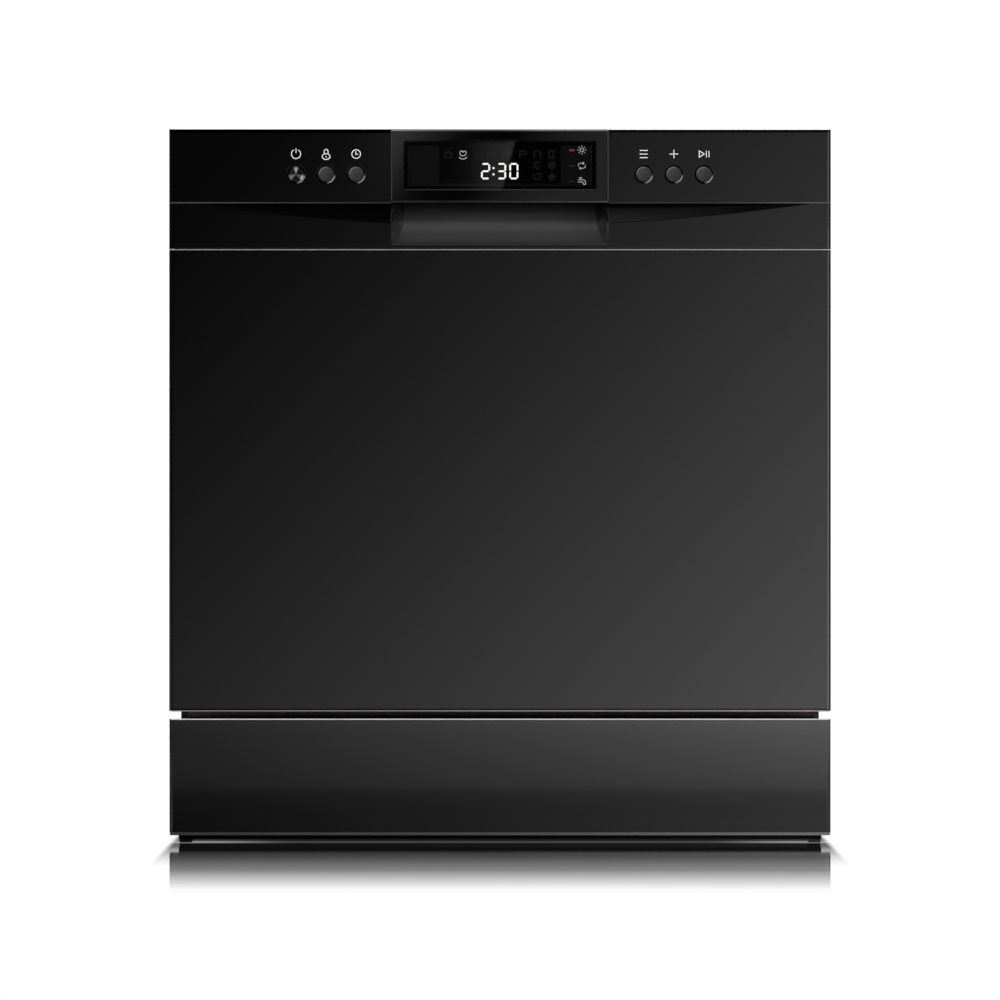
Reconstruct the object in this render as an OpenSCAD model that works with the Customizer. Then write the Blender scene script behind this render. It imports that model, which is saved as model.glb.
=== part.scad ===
// Countertop dishwasher with a drop-down door, two racks and two spray arms.
// Millimetres. Origin at the middle of the footprint on the worktop, +Z up, the door faces -Y.

/* [Overall] */
// Width across the door
door_w = 550; // [540:1:570]
// How far the cabinet's sides stand in from the door's
cabinet_inset = 7.5; // [5.5:0.5:9.5]
// Height to the top cover
height = 594; // [592:1:600]
// Depth from the display to the rear connectors
depth = 500; // [496:1:520]
// How far the connectors stand out behind the rear panel
connector_reach = 18; // [14:1:24]

/* [Front] */
// Underside of the base above the worktop
foot_h = 3.3; // [2:0.1:5]
// Lower edge of the kick panel
kick_bottom = 9.1; // [7:0.1:20]
// Upper edge of the kick panel
kick_top = 103.4; // [80:0.1:104]
// Lower edge of the door
door_bottom = 110.5; // [110:0.1:114]
// Seam between the door panel and the control panel, below the top
seam_drop = 100.2; // [99:0.1:114]
// Width of that seam
seam_gap = 0.8; // [0.3:0.1:1.5]
// Ledge under the display and the buttons, below the top
ledge_drop = 60.6; // [59:0.1:62]
// Thickness of the whole door
door_t = 55; // [54:0.5:58]
// Radius on the door's outer edges
edge_r = 3; // [2:0.5:4]
// Depth of the scoop under the ledge at its middle
scoop_depth = 10; // [4:0.5:11]
// Slope of the scoop's face
scoop_slope = 0.5; // [0.4:0.05:0.8]
// How far the scoop's ends stand in from the door's sides
scoop_inset = 7; // [5:1:35]

/* [Display and pocket] */
// Width of the display frame and the handle pocket
display_w = 181.2; // [176:0.1:186]
// How far the display frame stands proud of the door
display_proud = 1.5; // [0.5:0.1:2.5]
// Window width
window_w = 159; // [150:0.5:161]
// Lower and upper edge of the window, below the top
window_drop = [50.7, 10]; // [4:0.1:54]
// Front lip of the handle pocket, below the top
pocket_drop = 94.7; // [92:0.1:96]
// Radius of the pocket's curved floor
pocket_r = 37.8; // [36:0.1:38]
// Draft of the pocket's side walls, front to rear
pocket_draft = 11; // [4:0.5:16]

/* [Buttons] */
// Button row, below the top
button_drop = 37.4; // [32:0.1:39]
// Distance of the middle button of each group from the centre
button_x = 144.5; // [140:0.5:150]
// Distance between buttons
button_pitch = 25; // [22:0.5:27]
// Radius of a button
button_r = 6.4; // [5.5:0.1:7]
// Travel of a button
button_travel = 1.5; // [1:0.1:2]
// Clearance around a button
button_gap = 0.15; // [0.1:0.05:0.3]

/* [Tub] */
// How far the tub's inside walls stand in from the cabinet's sides
tub_inset = 22.5; // [21.5:0.5:23.5]
// Inside top of the tub, below the top
tub_drop = 34; // [32:1:38]
// Corner radius of the tub
tub_r = 30; // [20:1:40]
// Wheel ledge along the sides of the tub floor
ledge_floor_z = 168; // [167:0.5:170]
// Sunken middle of the tub floor
floor_z = 158; // [156:0.5:159]
// Steel sheet thickness
sheet = 0.8; // [0.6:0.1:1]
// Plastic wall thickness
wall = 2.5; // [2:0.1:3]

/* [Racks and spray arms] */
// Wire diameter of the racks
wire_d = 3; // [2.4:0.1:3.4]
// Space between the tub wall and the lower rack
lower_rack_inset = 17; // [17:1:23]
// Space between the tub wall and the upper rack
upper_rack_inset = 40; // [40:1:46]
// Rack wheel radius
wheel_r = 16; // [14:0.5:16]
// Roller radius of the upper rack
roller_r = 9; // [8:0.5:9.5]
// Tip radius of both spray arms
arm_reach = 187; // [170:1:187]
// Radial running clearance of the turning parts
run_gap = 0.05; // [0.02:0.01:0.09]

/* [Hidden] */

$fn = 64;
eps = 0.01;

// Front planes, front to rear
front_y = -depth / 2;
face_y = front_y + display_proud;
inner_y = face_y + door_t;
gasket_t = 3.2;
seal_gap = 0.3;
cab_front = inner_y + seal_gap + gasket_t;
cab_rear = depth / 2 - connector_reach;
kick_y = face_y + 4.5;
tray_front = kick_y + 8;
tub_rear = cab_rear - 17.2;

// Heights set from the top
seam_z = height - seam_drop;
ledge_z = height - ledge_drop;
window_z = [height - window_drop[0], height - window_drop[1]];
pocket_z = height - pocket_drop;
button_z = height - button_drop;
tub_top = height - tub_drop;

// Half widths
door_hw = door_w / 2;
cab_hw = door_hw - cabinet_inset;
tub_hw = cab_hw - tub_inset;
scoop_half_w = door_hw - scoop_inset;
top_screw_x = cab_hw - 67.5;
tray_hw = cab_hw - sheet;

// Door shell
door_top = height;
fascia_bottom = seam_z + seam_gap;
skin = 1.2;
fascia_wall = 2.5;
return_y = inner_y - sheet;
frame_depth = 12;
frame_back = front_y + frame_depth;
pocket_y = face_y + 2.5;
pocket_cz = pocket_z + pocket_r;
pocket_top = ledge_z + 14.6;
board_y = frame_back + 1.5;
board_t = 1.6;
board_bottom = pocket_top + 3.5;

// Hinge
hinge_y = face_y + 13.5;
hinge_z = door_bottom + 14.5;
pin_r = 4;
bracket_x = cab_hw - 9.5;
bracket_t = 3;
arm_t = 2.8;
flange_x = cab_hw - 1.5;
notch_z = hinge_z + 12;

// Base
tray_t = 3;
tray_wall_z = 60;
tray_ribs = [-200, -60, 60, 200];
tray_back = cab_rear - 2 * sheet;
bulkhead_z = floor_z - 8;
bulkhead_hw = cab_hw - 5;
pump_z = 62;
pump_r = 42;

// Tub details
arch_bottom = floor_z + 2;
flange_w = 17;
hub = [0, (cab_front + tub_rear) / 2];
filter = [0, hub[1] - 107];
filter_r = 38;
plate_r = 58;
cone_r = 76;
salt = [125 - tub_hw, hub[1] - 82];
salt_r = 21;
float_at = [70 - tub_hw, hub[1] - 152];
feed_w = 28;
feed_d = 12;
pipe_r = 11;

// Rack levels, from the top of the tub downwards
upper_mat_z = tub_top - 188;
upper_top = upper_mat_z + 68;
roller_z = upper_mat_z + 48;
upper_arm_z = upper_mat_z - 29;
lower_top = upper_arm_z - 55;

// Lower rack
lower_half_w = tub_hw - lower_rack_inset;
lower_mat_z = 200;
lower_y = [cab_front + 14, tub_rear - 29];
roll_gap = 0.2;
wheel_z = ledge_floor_z + roll_gap + wheel_r;
wheel_w = 8;
wheel_x = tub_hw - 9;
wheel_y = [cab_front + 70, tub_rear - 75];
axle_r = 3;

// Upper rack
upper_half_w = tub_hw - upper_rack_inset;
upper_y = [cab_front + 16, tub_rear - 37];
roller_w = 7;
roller_x = tub_hw - 10;
roller_y = [cab_front + 16, cab_front + 42];
rail_t = 1.5;
rail_x = [tub_hw - 19, tub_hw - 5];
rail_y = [cab_front + 7, tub_rear - 21];

// Spray arms
lower_arm_z = 176;
arm_t_z = 11;

// Latch
latch_y = face_y + 34.5;
latch_z = height - 20;
latch_pin_r = 2;

// Dispenser
disp_hw = 75;
disp_z = [hinge_z + 173, hinge_z + 247];
disp_face = inner_y + 2;
cup_x = [-66, -6];
cup_z = [disp_z[0] + 12, disp_z[1] - 10];
lid_axis = [disp_face + 2.6, cup_z[0] - 6];
lid_pin_r = 1.5;
rinse_at = [38, (cup_z[0] + cup_z[1]) / 2];
dish_d = 4;
dish_hw = tub_hw - 20;
dish_z = [hinge_z + 25, tub_top];

// Colours
gloss_black = [0.03, 0.03, 0.035];
body_black = [0.06, 0.06, 0.065];
steel = [0.78, 0.78, 0.8];
grey_plastic = [0.55, 0.57, 0.6];
white_plastic = [0.9, 0.9, 0.9];
rubber_black = [0.05, 0.05, 0.05];

// ---------- helpers ----------

// Box from corner a to corner b
module box(a, b) translate(a) cube(b - a);

// Both sides of the XZ mirror plane
module both_sides() {
    children();
    mirror([1, 0, 0]) children();
}

// Profile drawn in (Y, Z), extruded from x0 to x1
module along_x(x0, x1) translate([x0, 0, 0]) rotate([90, 0, 90]) linear_extrude(x1 - x0) children();

// Profile drawn in (X, Z), extruded from y0 to y1
module along_y(y0, y1) translate([0, y1, 0]) rotate([90, 0, 0]) linear_extrude(y1 - y0) children();

// Profile drawn in (X, Y), extruded from z0 to z1
module along_z(z0, z1) translate([0, 0, z0]) linear_extrude(z1 - z0) children();

module rod_x(x0, x1, y, z, r) translate([x0, y, z]) rotate([0, 90, 0]) cylinder(r = r, h = x1 - x0);
module rod_y(x, y0, y1, z, r) translate([x, y0, z]) rotate([-90, 0, 0]) cylinder(r = r, h = y1 - y0);
module rod_z(x, y, z0, z1, r) translate([x, y, z0]) cylinder(r = r, h = z1 - z0);

// Rectangle from (u0, v0) to (u1, v1) with the two upper corners rounded
module arch_2d(half_w, v0, v1, r) {
    translate([-half_w, v0]) square([2 * half_w, v1 - v0 - r]);
    translate([-half_w + r, v0]) square([2 * (half_w - r), v1 - v0]);
    for (s = [-1, 1]) translate([s * (half_w - r), v1 - r]) circle(r);
}

// Plan of the door: square rear corners and rounded front corners
module plan_2d(half_w, y0, y1, r) {
    translate([-half_w, y0 + r]) square([2 * half_w, y1 - y0 - r]);
    translate([-half_w + r, y0]) square([2 * (half_w - r), y1 - y0]);
    for (s = [-1, 1]) translate([s * (half_w - r), y0 + r]) circle(r);
}

// Block with rounded front edges at both sides, the top and the bottom
module front_block(half_w, y0, y1, z0, z1, side_r, top_r, bottom_r) intersection() {
    along_z(z0, z1) plan_2d(half_w, y0, y1, side_r);
    along_x(-half_w, half_w) {
        translate([y0 + top_r, z0]) square([y1 - y0 - top_r, z1 - z0]);
        translate([y0, z0 + bottom_r]) square([y1 - y0, z1 - z0 - top_r - bottom_r]);
        translate([y0 + bottom_r, z0]) square([top_r + 1, bottom_r + 1]);
        translate([y0 + top_r, z1 - top_r]) circle(top_r);
        translate([y0 + bottom_r, z0 + bottom_r]) circle(bottom_r);
    }
}

// Welding depth of crossing wires, and the gap between the lattices of one basket
wire_lap = 0.3;
wire_gap = 0.1;
function mat_top_of(z) = z + 2 * wire_d - wire_lap + wire_gap;

// Flat lattice in the XY plane: nx wires along Y under ny wires along X
module lattice(w, h, nx, ny, r = wire_d / 2) {
    for (i = [0 : nx - 1]) rod_y(-w / 2 + i * w / (nx - 1), -h / 2, h / 2, 0, r);
    for (j = [0 : ny - 1])
        rod_x(-w / 2 - r, w / 2 + r, -h / 2 + 2 + j * (h - 4) / (ny - 1), 2 * r - wire_lap, r);
}

// Wire basket of five flat lattices
module wire_basket(half_w, y, z0, z1, nx, ny) {
    cy = (y[0] + y[1]) / 2;
    len = y[1] - y[0];
    mat_top = mat_top_of(z0);
    r = wire_d / 2;
    end_w = 2 * (half_w - 2 * wire_d + wire_lap - wire_gap - r);
    translate([0, cy, z0 + r]) lattice(2 * half_w - 4 * wire_d, len - 4 * wire_d, nx, ny);
    hz = z1 - mat_top;
    for (s = [0, 1])
        translate([0, s == 0 ? y[0] + r : y[1] - r, mat_top + hz / 2])
            rotate([s == 0 ? 90 : -90, 0, 0])
                mirror([0, 0, 1]) lattice(end_w, hz, nx, 3);
    for (s = [-1, 1])
        translate([s * (half_w - r), cy, mat_top + hz / 2])
            rotate([0, 90 * s, 0]) rotate([0, 0, 90])
                mirror([0, 0, 1]) lattice(len - 2 * wire_d - wire_gap, hz, ny + 1, 3);
}

// Row of upright plate supports on one wire along Y
module tine_row(x, y0, y1, z0, z1, pitch) {
    count = floor((y1 - y0) / pitch);
    rod_y(x, y0, y1, z0 + wire_d / 2, wire_d / 2);
    for (i = [0 : count]) rod_z(x, y0 + 3 + i * (y1 - y0 - 6) / count, z0 + 0.6, z1, wire_d / 2 - 0.2);
}

// Pressed bead in a sheet at y: upright, standing out by bead_out or, with in = true, towards the front
bead_hw = 6;
bead_out = 1.2;
module bead(x, y, z0, z1, in = false) along_z(z0, z1) {
    s = in ? -1 : 1;
    polygon([[x - bead_hw, y - s * eps], [x - bead_hw + 2, y + s * bead_out],
        [x + bead_hw - 2, y + s * bead_out], [x + bead_hw, y - s * eps]]);
}

// ---------- cabinet ----------

module base_tray() color(body_black) {
    up = foot_h + tray_t + wire_gap;
    side_y = tray_front + wall + wire_gap;
    side_x = tray_hw - wall;
    difference() {
        box([-cab_hw, tray_front, foot_h], [cab_hw, cab_rear, foot_h + tray_t]);
        feet_pegs();
    }
    box([-cab_hw, tray_front, up], [cab_hw, tray_front + wall, kick_bottom]);
    box([-tray_hw, tray_front, up], [tray_hw, tray_front + wall, tray_wall_z + 20]);
    both_sides() difference() {
        union() {
            box([side_x, side_y, up], [cab_hw, cab_rear, kick_bottom]);
            box([side_x, side_y, up], [tray_hw, cab_front, tray_wall_z]);
            box([side_x, cab_front + sheet, up], [tray_hw, tray_back, tray_wall_z]);
        }
        box([bracket_x - bracket_t, cab_front, hinge_z - 10], [bracket_x, cab_front + 5, hinge_z + 10]);
    }
    box([-side_x + wire_gap, tray_back - wall, up], [side_x - wire_gap, tray_back, tray_wall_z]);
    difference() {
        box([-bulkhead_hw, cab_front + sheet, up], [bulkhead_hw, cab_front + sheet + wall, bulkhead_z]);
        rod_x(90, 180, filter[1], pump_z, pump_r);
        both_sides() box([bracket_x - bracket_t, cab_front, hinge_z - 10],
            [bracket_x, cab_front + 5, hinge_z + 10]);
    }
    for (x = tray_ribs) box([x - 1, side_y, up], [x + 1, cab_front + sheet - wire_gap, tray_wall_z]);
    for (x = [100, 165]) difference() {
        box([x, filter[1] - 40, up], [x + 4, filter[1] + 40, 40]);
        rod_x(90, 180, filter[1], pump_z, pump_r);
    }
}

module feet_at() for (s = [-1, 1]) for (y = [tray_front + 34, cab_rear - 40])
    translate([s * (cab_hw - 5), y, 0]) children();
module feet_pegs() feet_at() translate([0, 0, foot_h]) cylinder(r = 3, h = 3);
module feet() color(rubber_black) {
    feet_pegs();
    feet_at() difference() {
        box([-5, -20, 0], [5, 20, foot_h]);
        for (y = [-12, -4, 4, 12]) rod_x(-6, 6, y, 0, 0.8);
    }
}

// Side view of the kick panel, shrunk by i: upright at the bottom, bending rearwards above
kick_bend_z = 45;
kick_bend_r = 673;
kick_wall = 1.6;
kick_rear = kick_y + 44;
module kick_profile_2d(i) intersection() {
    translate([kick_y, kick_bottom + i]) square([60, kick_top - kick_bottom - 1.5 * i]);
    union() {
        translate([kick_y + i, 0]) square([60, kick_bend_z]);
        translate([kick_y + kick_bend_r, kick_bend_z]) circle(kick_bend_r - i, $fn = 1440);
    }
}
module kick_panel() color(gloss_black) {
    difference() {
        intersection() {
            along_z(kick_bottom, kick_top) plan_2d(door_hw, kick_y, kick_rear, edge_r);
            along_x(-door_hw, door_hw) kick_profile_2d(0);
        }
        along_x(-door_hw + kick_wall, door_hw - kick_wall) kick_profile_2d(kick_wall);
        box([-door_hw, hinge_y - 2.5, kick_top - 2], [door_hw, 0, kick_top + 1]);
        box([-door_hw + kick_wall, tray_front, 0], [door_hw - kick_wall, 0, kick_top]);
    }
    for (x = tray_ribs) box([x - 4, kick_y + 1, 20], [x + 4, tray_front, tray_wall_z]);
}

module side_panel() color(body_black) along_z(kick_bottom, height - 16) polygon([
    [cab_hw, cab_front], [cab_hw, cab_rear - sheet], [cab_hw - 12, cab_rear - sheet],
    [cab_hw - 12, tray_back], [tray_hw, tray_back], [tray_hw, cab_front + sheet],
    [cab_hw - 5, cab_front + sheet], [cab_hw - 5, cab_front]]);
module side_panel_left() mirror([1, 0, 0]) side_panel();
module side_panel_right() side_panel();

module top_cover() color(body_black) difference() {
    along_y(cab_front, cab_rear) arch_2d(cab_hw, height - 16, height, 5);
    along_y(cab_front + 1.5, cab_rear - 1.5) arch_2d(cab_hw - 1.5, height - 20, height - 1.5, 3.5);
    box([-10, cab_front - 1, height - 17], [10, cab_front + 2, height - 1.5]);
    for (x = [-top_screw_x, top_screw_x]) rod_y(x, cab_rear - 3, cab_rear + 1, height - 8, 2);
}

inlet_at = [200, 90];
drain_at = [-150, 90];
gland_at = [-205, 90];
inlet_r = 13.2;
drain_r = 10;
panel_beads = [40, 120, 200];
module rear_panel() color(body_black) {
    difference() {
        box([-tray_hw, cab_rear - sheet, kick_bottom], [tray_hw, cab_rear, height - 16]);
        rod_y(inlet_at[0], cab_rear - 2, cab_rear + 1, inlet_at[1], inlet_r + 1);
        rod_y(drain_at[0], cab_rear - 2, cab_rear + 1, drain_at[1], drain_r + 1);
        rod_y(gland_at[0], cab_rear - 2, cab_rear + 1, gland_at[1], 8);
        for (x = [-90 : 12 : 90]) box([x - 2, cab_rear - 2, 100], [x + 2, cab_rear + 1, 140]);
    }
    both_sides() for (x = panel_beads) bead(x, cab_rear, 190, height - 70);
}

module tub_wrap() color(steel) {
    difference() {
        along_y(cab_front, tub_rear) arch_2d(tub_hw + sheet, arch_bottom, tub_top + sheet, tub_r + sheet);
        along_y(cab_front - 1, tub_rear + 1) arch_2d(tub_hw, arch_bottom - 1, tub_top, tub_r);
    }
    lap = sheet + wire_gap;
    difference() {
        along_y(cab_front, cab_front + sheet)
            arch_2d(tub_hw + flange_w, arch_bottom, tub_top + 16, tub_r + 16);
        along_y(cab_front - 1, cab_front + 1)
            arch_2d(tub_hw + lap, arch_bottom - 1, tub_top + lap, tub_r + lap);
        box([-10, cab_front - 1, tub_top], [10, cab_front + 2, tub_top + 17]);
    }
}

module tub_back() color(steel) {
    difference() {
        along_y(tub_rear, tub_rear + sheet)
            arch_2d(tub_hw + sheet, floor_z - 2, tub_top + sheet, tub_r + sheet);
        for (x = [-top_screw_x, top_screw_x]) rod_y(x, tub_rear - 1, tub_rear + 2, tub_top - 30, 3);
    }
    both_sides() for (x = [70, 130, 190]) bead(x, tub_rear, ledge_floor_z + 40, tub_top - 50, true);
}

// Cross-section of the tub floor: wheel ledges at the sides, sunken in the middle
ledge_x = tub_hw - 23;
slope_x = tub_hw - 40;
floor_rim = 8;
module floor_2d() polygon([
    [-tub_hw, ledge_floor_z], [-ledge_x, ledge_floor_z], [-slope_x, floor_z], [slope_x, floor_z],
    [ledge_x, ledge_floor_z], [tub_hw, ledge_floor_z], [tub_hw, ledge_floor_z - wall],
    [ledge_x + 1, ledge_floor_z - wall], [slope_x + 1, floor_z - wall], [-slope_x - 1, floor_z - wall],
    [-ledge_x - 1, ledge_floor_z - wall], [-tub_hw, ledge_floor_z - wall]]);
module tub_floor() color(grey_plastic) {
    front = cab_front + 1 + wall + wire_gap;
    rear = tub_rear - wall - wire_gap;
    difference() {
        union() {
            along_y(front, rear) floor_2d();
            translate([filter[0], filter[1], floor_z - 8 - wall])
                cylinder(r1 = plate_r + wall, r2 = cone_r + wall, h = 8 + wall);
        }
        translate([filter[0], filter[1], floor_z - 8]) cylinder(r1 = plate_r, r2 = cone_r, h = 8 + eps);
        rod_z(filter[0], filter[1], floor_z - 20, floor_z, plate_r - 1.5);
        rod_z(hub[0], hub[1], floor_z - 10, floor_z + 1, pipe_r + 2);
        rod_z(salt[0], salt[1], floor_z - 10, floor_z + 1, salt_r + 4);
        rod_z(float_at[0], float_at[1], floor_z - 10, floor_z + 1, 5);
        box([-feed_w / 2, tub_rear - feed_d, floor_z - 10], [feed_w / 2, tub_rear, ledge_floor_z + 1]);
    }
    box([-tub_hw, cab_front + 1, bulkhead_z], [tub_hw, cab_front + 1 + wall, ledge_floor_z]);
    both_sides() {
        box([tub_hw - 2, front, ledge_floor_z + wire_gap], [tub_hw, rear, ledge_floor_z + floor_rim]);
        box([feed_w / 2, tub_rear - wall, floor_z - wall], [tub_hw, tub_rear, ledge_floor_z + floor_rim]);
    }
}

module tub_gasket() color(rubber_black) along_y(cab_front - gasket_t, cab_front) difference() {
    arch_2d(tub_hw + 9, arch_bottom, tub_top + 8.8, tub_r + 8.8);
    arch_2d(tub_hw + 1, arch_bottom - 1, tub_top + 0.8, tub_r + 0.8);
}

bowl_r = [45, plate_r];
bowl_z = 42;
web_hw = 3;
rim_z = floor_z - 8 - wall;
module sump() color(grey_plastic) {
    difference() {
        union() {
            translate([filter[0], filter[1], 0]) rotate_extrude() polygon([
                [0, bowl_z], [bowl_r[0], bowl_z], [bowl_r[0] + 5, 100], [bowl_r[1] + 2, rim_z - 3],
                [bowl_r[1] + 6, rim_z - 3], [bowl_r[1] + 6, rim_z], [bowl_r[1] - 3, rim_z],
                [bowl_r[0] + 1, 100], [bowl_r[0] - 3, bowl_z + 3], [0, bowl_z + 3]]);
            rod_x(bowl_r[0] - 1, 60, filter[1], pump_z, 12);
            rod_x(-60, -bowl_r[0] + 1, filter[1], pump_z, 9);
            box([-web_hw, filter[1] + bowl_r[0] + 8, 112], [web_hw, hub[1] - pipe_r - wire_gap, 140]);
        }
        rod_x(bowl_r[0] - 5, 61, filter[1], pump_z, 9.5);
        rod_x(-61, -bowl_r[0] + 5, filter[1], pump_z, 6.5);
    }
    stand_pipe();
}
// Pipe that carries the lower spray arm
arm_gap = 0.3;
hub_z = [lower_arm_z - 4, lower_arm_z + 14.7];
module stand_pipe() translate([hub[0], hub[1], 0]) difference() {
    union() {
        rod_z(0, 0, 104, hub_z[1] + arm_gap + 3, pipe_r);
        rod_z(0, 0, 140, hub_z[0] - arm_gap, pipe_r + 2);
        rod_z(0, 0, hub_z[1] + arm_gap, hub_z[1] + arm_gap + 4, pipe_r + 4);
    }
    rod_z(0, 0, 107, hub_z[1] - 2, pipe_r - wall);
    for (a = [0, 90]) rotate([0, 0, a]) rod_x(-20, 20, 0, lower_arm_z + 5, 2.5);
}

module filter_plate() color(steel) translate([filter[0], filter[1], floor_z - 8]) difference() {
    cylinder(r = plate_r - 0.2, h = 1.2);
    translate([0, 0, -1]) cylinder(r = filter_r + 0.3, h = 4);
    for (ring = [0 : 2]) for (k = [0 : 23 + 4 * ring])
        rotate([0, 0, k * 360 / (24 + 4 * ring)])
            translate([filter_r + 4.5 + 5.2 * ring, 0, -1]) cylinder(r = 1.6, h = 4, $fn = 20);
}

module wash_pump() color(grey_plastic) difference() {
    union() {
        rod_x(60, 88, filter[1], pump_z, pump_r + 6);
        rod_x(88, 192, filter[1], pump_z, pump_r);
        rod_x(192, 198, filter[1], pump_z, 20);
        rod_z(74, filter[1] + 20, 95, 132, 12);
        translate([74, filter[1] + 20, 120]) rotate([0, 90, atan2(hub[1] - filter[1] - 20, -74)])
            cylinder(r = 10, h = norm([74, hub[1] - filter[1] - 20]));
    }
    rod_z(hub[0], hub[1], 100, 150, pipe_r);
    box([-web_hw, filter[1], 100], [web_hw, hub[1], 150]);
}

module drain_pump() color(body_black) {
    rod_x(-84, -60, filter[1], pump_z, 24);
    rod_x(-134, -84, filter[1], pump_z, 20);
}

module feed_tube() color(grey_plastic) difference() {
    union() {
        box([-feed_w / 2, tub_rear - feed_d, floor_z - 6], [feed_w / 2, tub_rear, upper_mat_z]);
        rod_y(0, tub_rear - feed_d - 5, tub_rear - 1, upper_mat_z - 10, 8);
    }
    box([-feed_w / 2 + 2, tub_rear - feed_d + 2, floor_z - 7],
        [feed_w / 2 - 2, tub_rear - 2, upper_mat_z - 2]);
    rod_y(0, tub_rear - feed_d - 6, tub_rear - 4, upper_mat_z - 10, 6);
}

module softener_tank() color(white_plastic) difference() {
    union() {
        box([salt[0] - 60, salt[1] - 50, 90], [salt[0] + 52, salt[1] + 60, floor_z - 12]);
        rod_z(salt[0], salt[1], floor_z - 13, floor_z + 6, salt_r + 4);
    }
    rod_z(salt[0], salt[1], 100, floor_z + 7, salt_r + run_gap);
}

module inlet_valve() color(white_plastic) difference() {
    union() {
        rod_y(inlet_at[0], cab_rear, depth / 2, inlet_at[1], inlet_r);
        rod_y(inlet_at[0], cab_rear - sheet - 6, cab_rear - sheet, inlet_at[1], inlet_r + 8);
        rod_y(inlet_at[0], cab_rear - 7, cab_rear + 1, inlet_at[1], inlet_r + 1);
        box([inlet_at[0] - 18, cab_rear - 44, inlet_at[1] - 18],
            [inlet_at[0] + 18, cab_rear - 6, inlet_at[1] + 18]);
        rod_z(inlet_at[0], cab_rear - 28, inlet_at[1] + 15, inlet_at[1] + 48, 14);
    }
    rod_y(inlet_at[0], cab_rear - 30, depth / 2 + 1, inlet_at[1], 9);
}

module drain_outlet() color(body_black) difference() {
    union() {
        rod_y(drain_at[0], cab_rear, depth / 2, drain_at[1], drain_r);
        rod_y(drain_at[0], cab_rear - sheet - 4, cab_rear - sheet, drain_at[1], drain_r + 7);
        rod_y(drain_at[0], cab_rear - 30, cab_rear + 1, drain_at[1], drain_r + 1);
        rod_z(drain_at[0], cab_rear - 30, 40, drain_at[1], drain_r);
    }
    rod_y(drain_at[0], cab_rear - 32, depth / 2 + 1, drain_at[1], drain_r - wall);
    rod_z(drain_at[0], cab_rear - 30, 39, drain_at[1], drain_r - wall);
}

module cable_gland() color(body_black) difference() {
    union() {
        rod_y(gland_at[0], cab_rear, cab_rear + 5, gland_at[1], 11);
        rod_y(gland_at[0], cab_rear - 10, cab_rear + 5, gland_at[1], 8);
        rod_y(gland_at[0], cab_rear - 6, cab_rear - sheet, gland_at[1], 11);
    }
    rod_y(gland_at[0], cab_rear - 12, cab_rear + 6, gland_at[1], 5);
}

// Brackets that carry the door's hinge pins
module hinge_brackets() color(steel) both_sides() difference() {
    union() {
        along_x(bracket_x - bracket_t, bracket_x) {
            translate([hinge_y, hinge_z]) circle(10);
            translate([hinge_y, hinge_z - 10]) square([cab_front + 45 - hinge_y, 20]);
            translate([cab_front + 5, tray_wall_z]) square([40, hinge_z - tray_wall_z]);
        }
        box([bracket_x - 14, cab_front + 5, tray_wall_z], [bracket_x, cab_front + 45, tray_wall_z + 3]);
    }
    rod_x(bracket_x - 10, bracket_x + 10, hinge_y, hinge_z, pin_r + run_gap);
    for (y = [cab_front + 15, cab_front + 35]) rod_z(bracket_x - 9, y, tray_wall_z - 1, tray_wall_z + 5, 2.2);
}

// Torsion springs wound round the hinge pins
coil_r = 6.6;
coil_wire = 1.6;
coil_pitch = 2;
coil_turns = 3.25;
coil_steps = 24;
coil_sides = 8;
spring_leg = 45;
module door_springs() color(steel) both_sides() {
    rings = coil_turns * coil_steps;
    coil_len = coil_turns * coil_pitch;
    points = [for (i = [0 : rings + 1]) let (turn = min(i, rings), a = 360 * turn / coil_steps,
            x = turn * coil_pitch / coil_steps, leg = i > rings ? spring_leg : 0)
        for (k = [0 : coil_sides - 1]) let (b = 360 * k / coil_sides, r = coil_r + coil_wire / 2 * cos(b))
            [x + coil_wire / 2 * sin(b), leg - r * cos(a), r * sin(a)]];
    faces = [
        for (i = [0 : rings]) for (k = [0 : coil_sides - 1])
            let (p = i * coil_sides + k, q = i * coil_sides + (k + 1) % coil_sides)
                [p, p + coil_sides, q + coil_sides, q],
        [for (k = [0 : coil_sides - 1]) k],
        [for (k = [coil_sides - 1 : -1 : 0]) (rings + 1) * coil_sides + k]];
    translate([bracket_x - bracket_t - coil_wire / 2 - 0.1 - coil_len, hinge_y, hinge_z])
        polyhedron(points, faces);
}

// Plates on the tub walls with the axles of the upper rack's rollers
module rail_brackets() color(grey_plastic) both_sides() {
    box([tub_hw - 2.5, roller_y[0] - 12, roller_z - 14], [tub_hw, roller_y[1] + 12, roller_z + 14]);
    for (y = roller_y) {
        rod_x(roller_x - roller_w / 2 - 1, tub_hw - 1, y, roller_z, axle_r);
        rod_x(roller_x + roller_w / 2 + arm_gap, tub_hw - 1, y, roller_z, axle_r + 2);
    }
}

bar_r = 1.25;
bar_at = [cab_front + 5.25, height - 8.75];
module striker() color(steel) {
    box([-14, cab_front + 1.5, height - 3], [14, cab_front + 22, height - 1.5]);
    for (s = [-1, 1])
        box([s * 11 - 1, cab_front + 3.5, bar_at[1] - 2], [s * 11 + 1, cab_front + 7, height - 2]);
    rod_x(-11, 11, bar_at[0], bar_at[1], bar_r);
}

module panel_screws() color(steel) {
    for (s = [-1, 1]) for (z = [150, height / 2, height - 144])
        screw_at([s * (cab_hw - 8), cab_rear, z]);
    for (x = [-top_screw_x, top_screw_x]) screw_at([x, cab_rear, height - 8]);
}
module screw_at(p) translate(p) rotate([-90, 0, 0]) difference() {
    translate([0, 0, 0]) cylinder(r = 3.6, h = 1.8);
    for (a = [0, 90]) rotate([0, 0, a]) box([-2, -0.4, 1], [2, 0.4, 2]);
}

// ---------- door ----------

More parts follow.
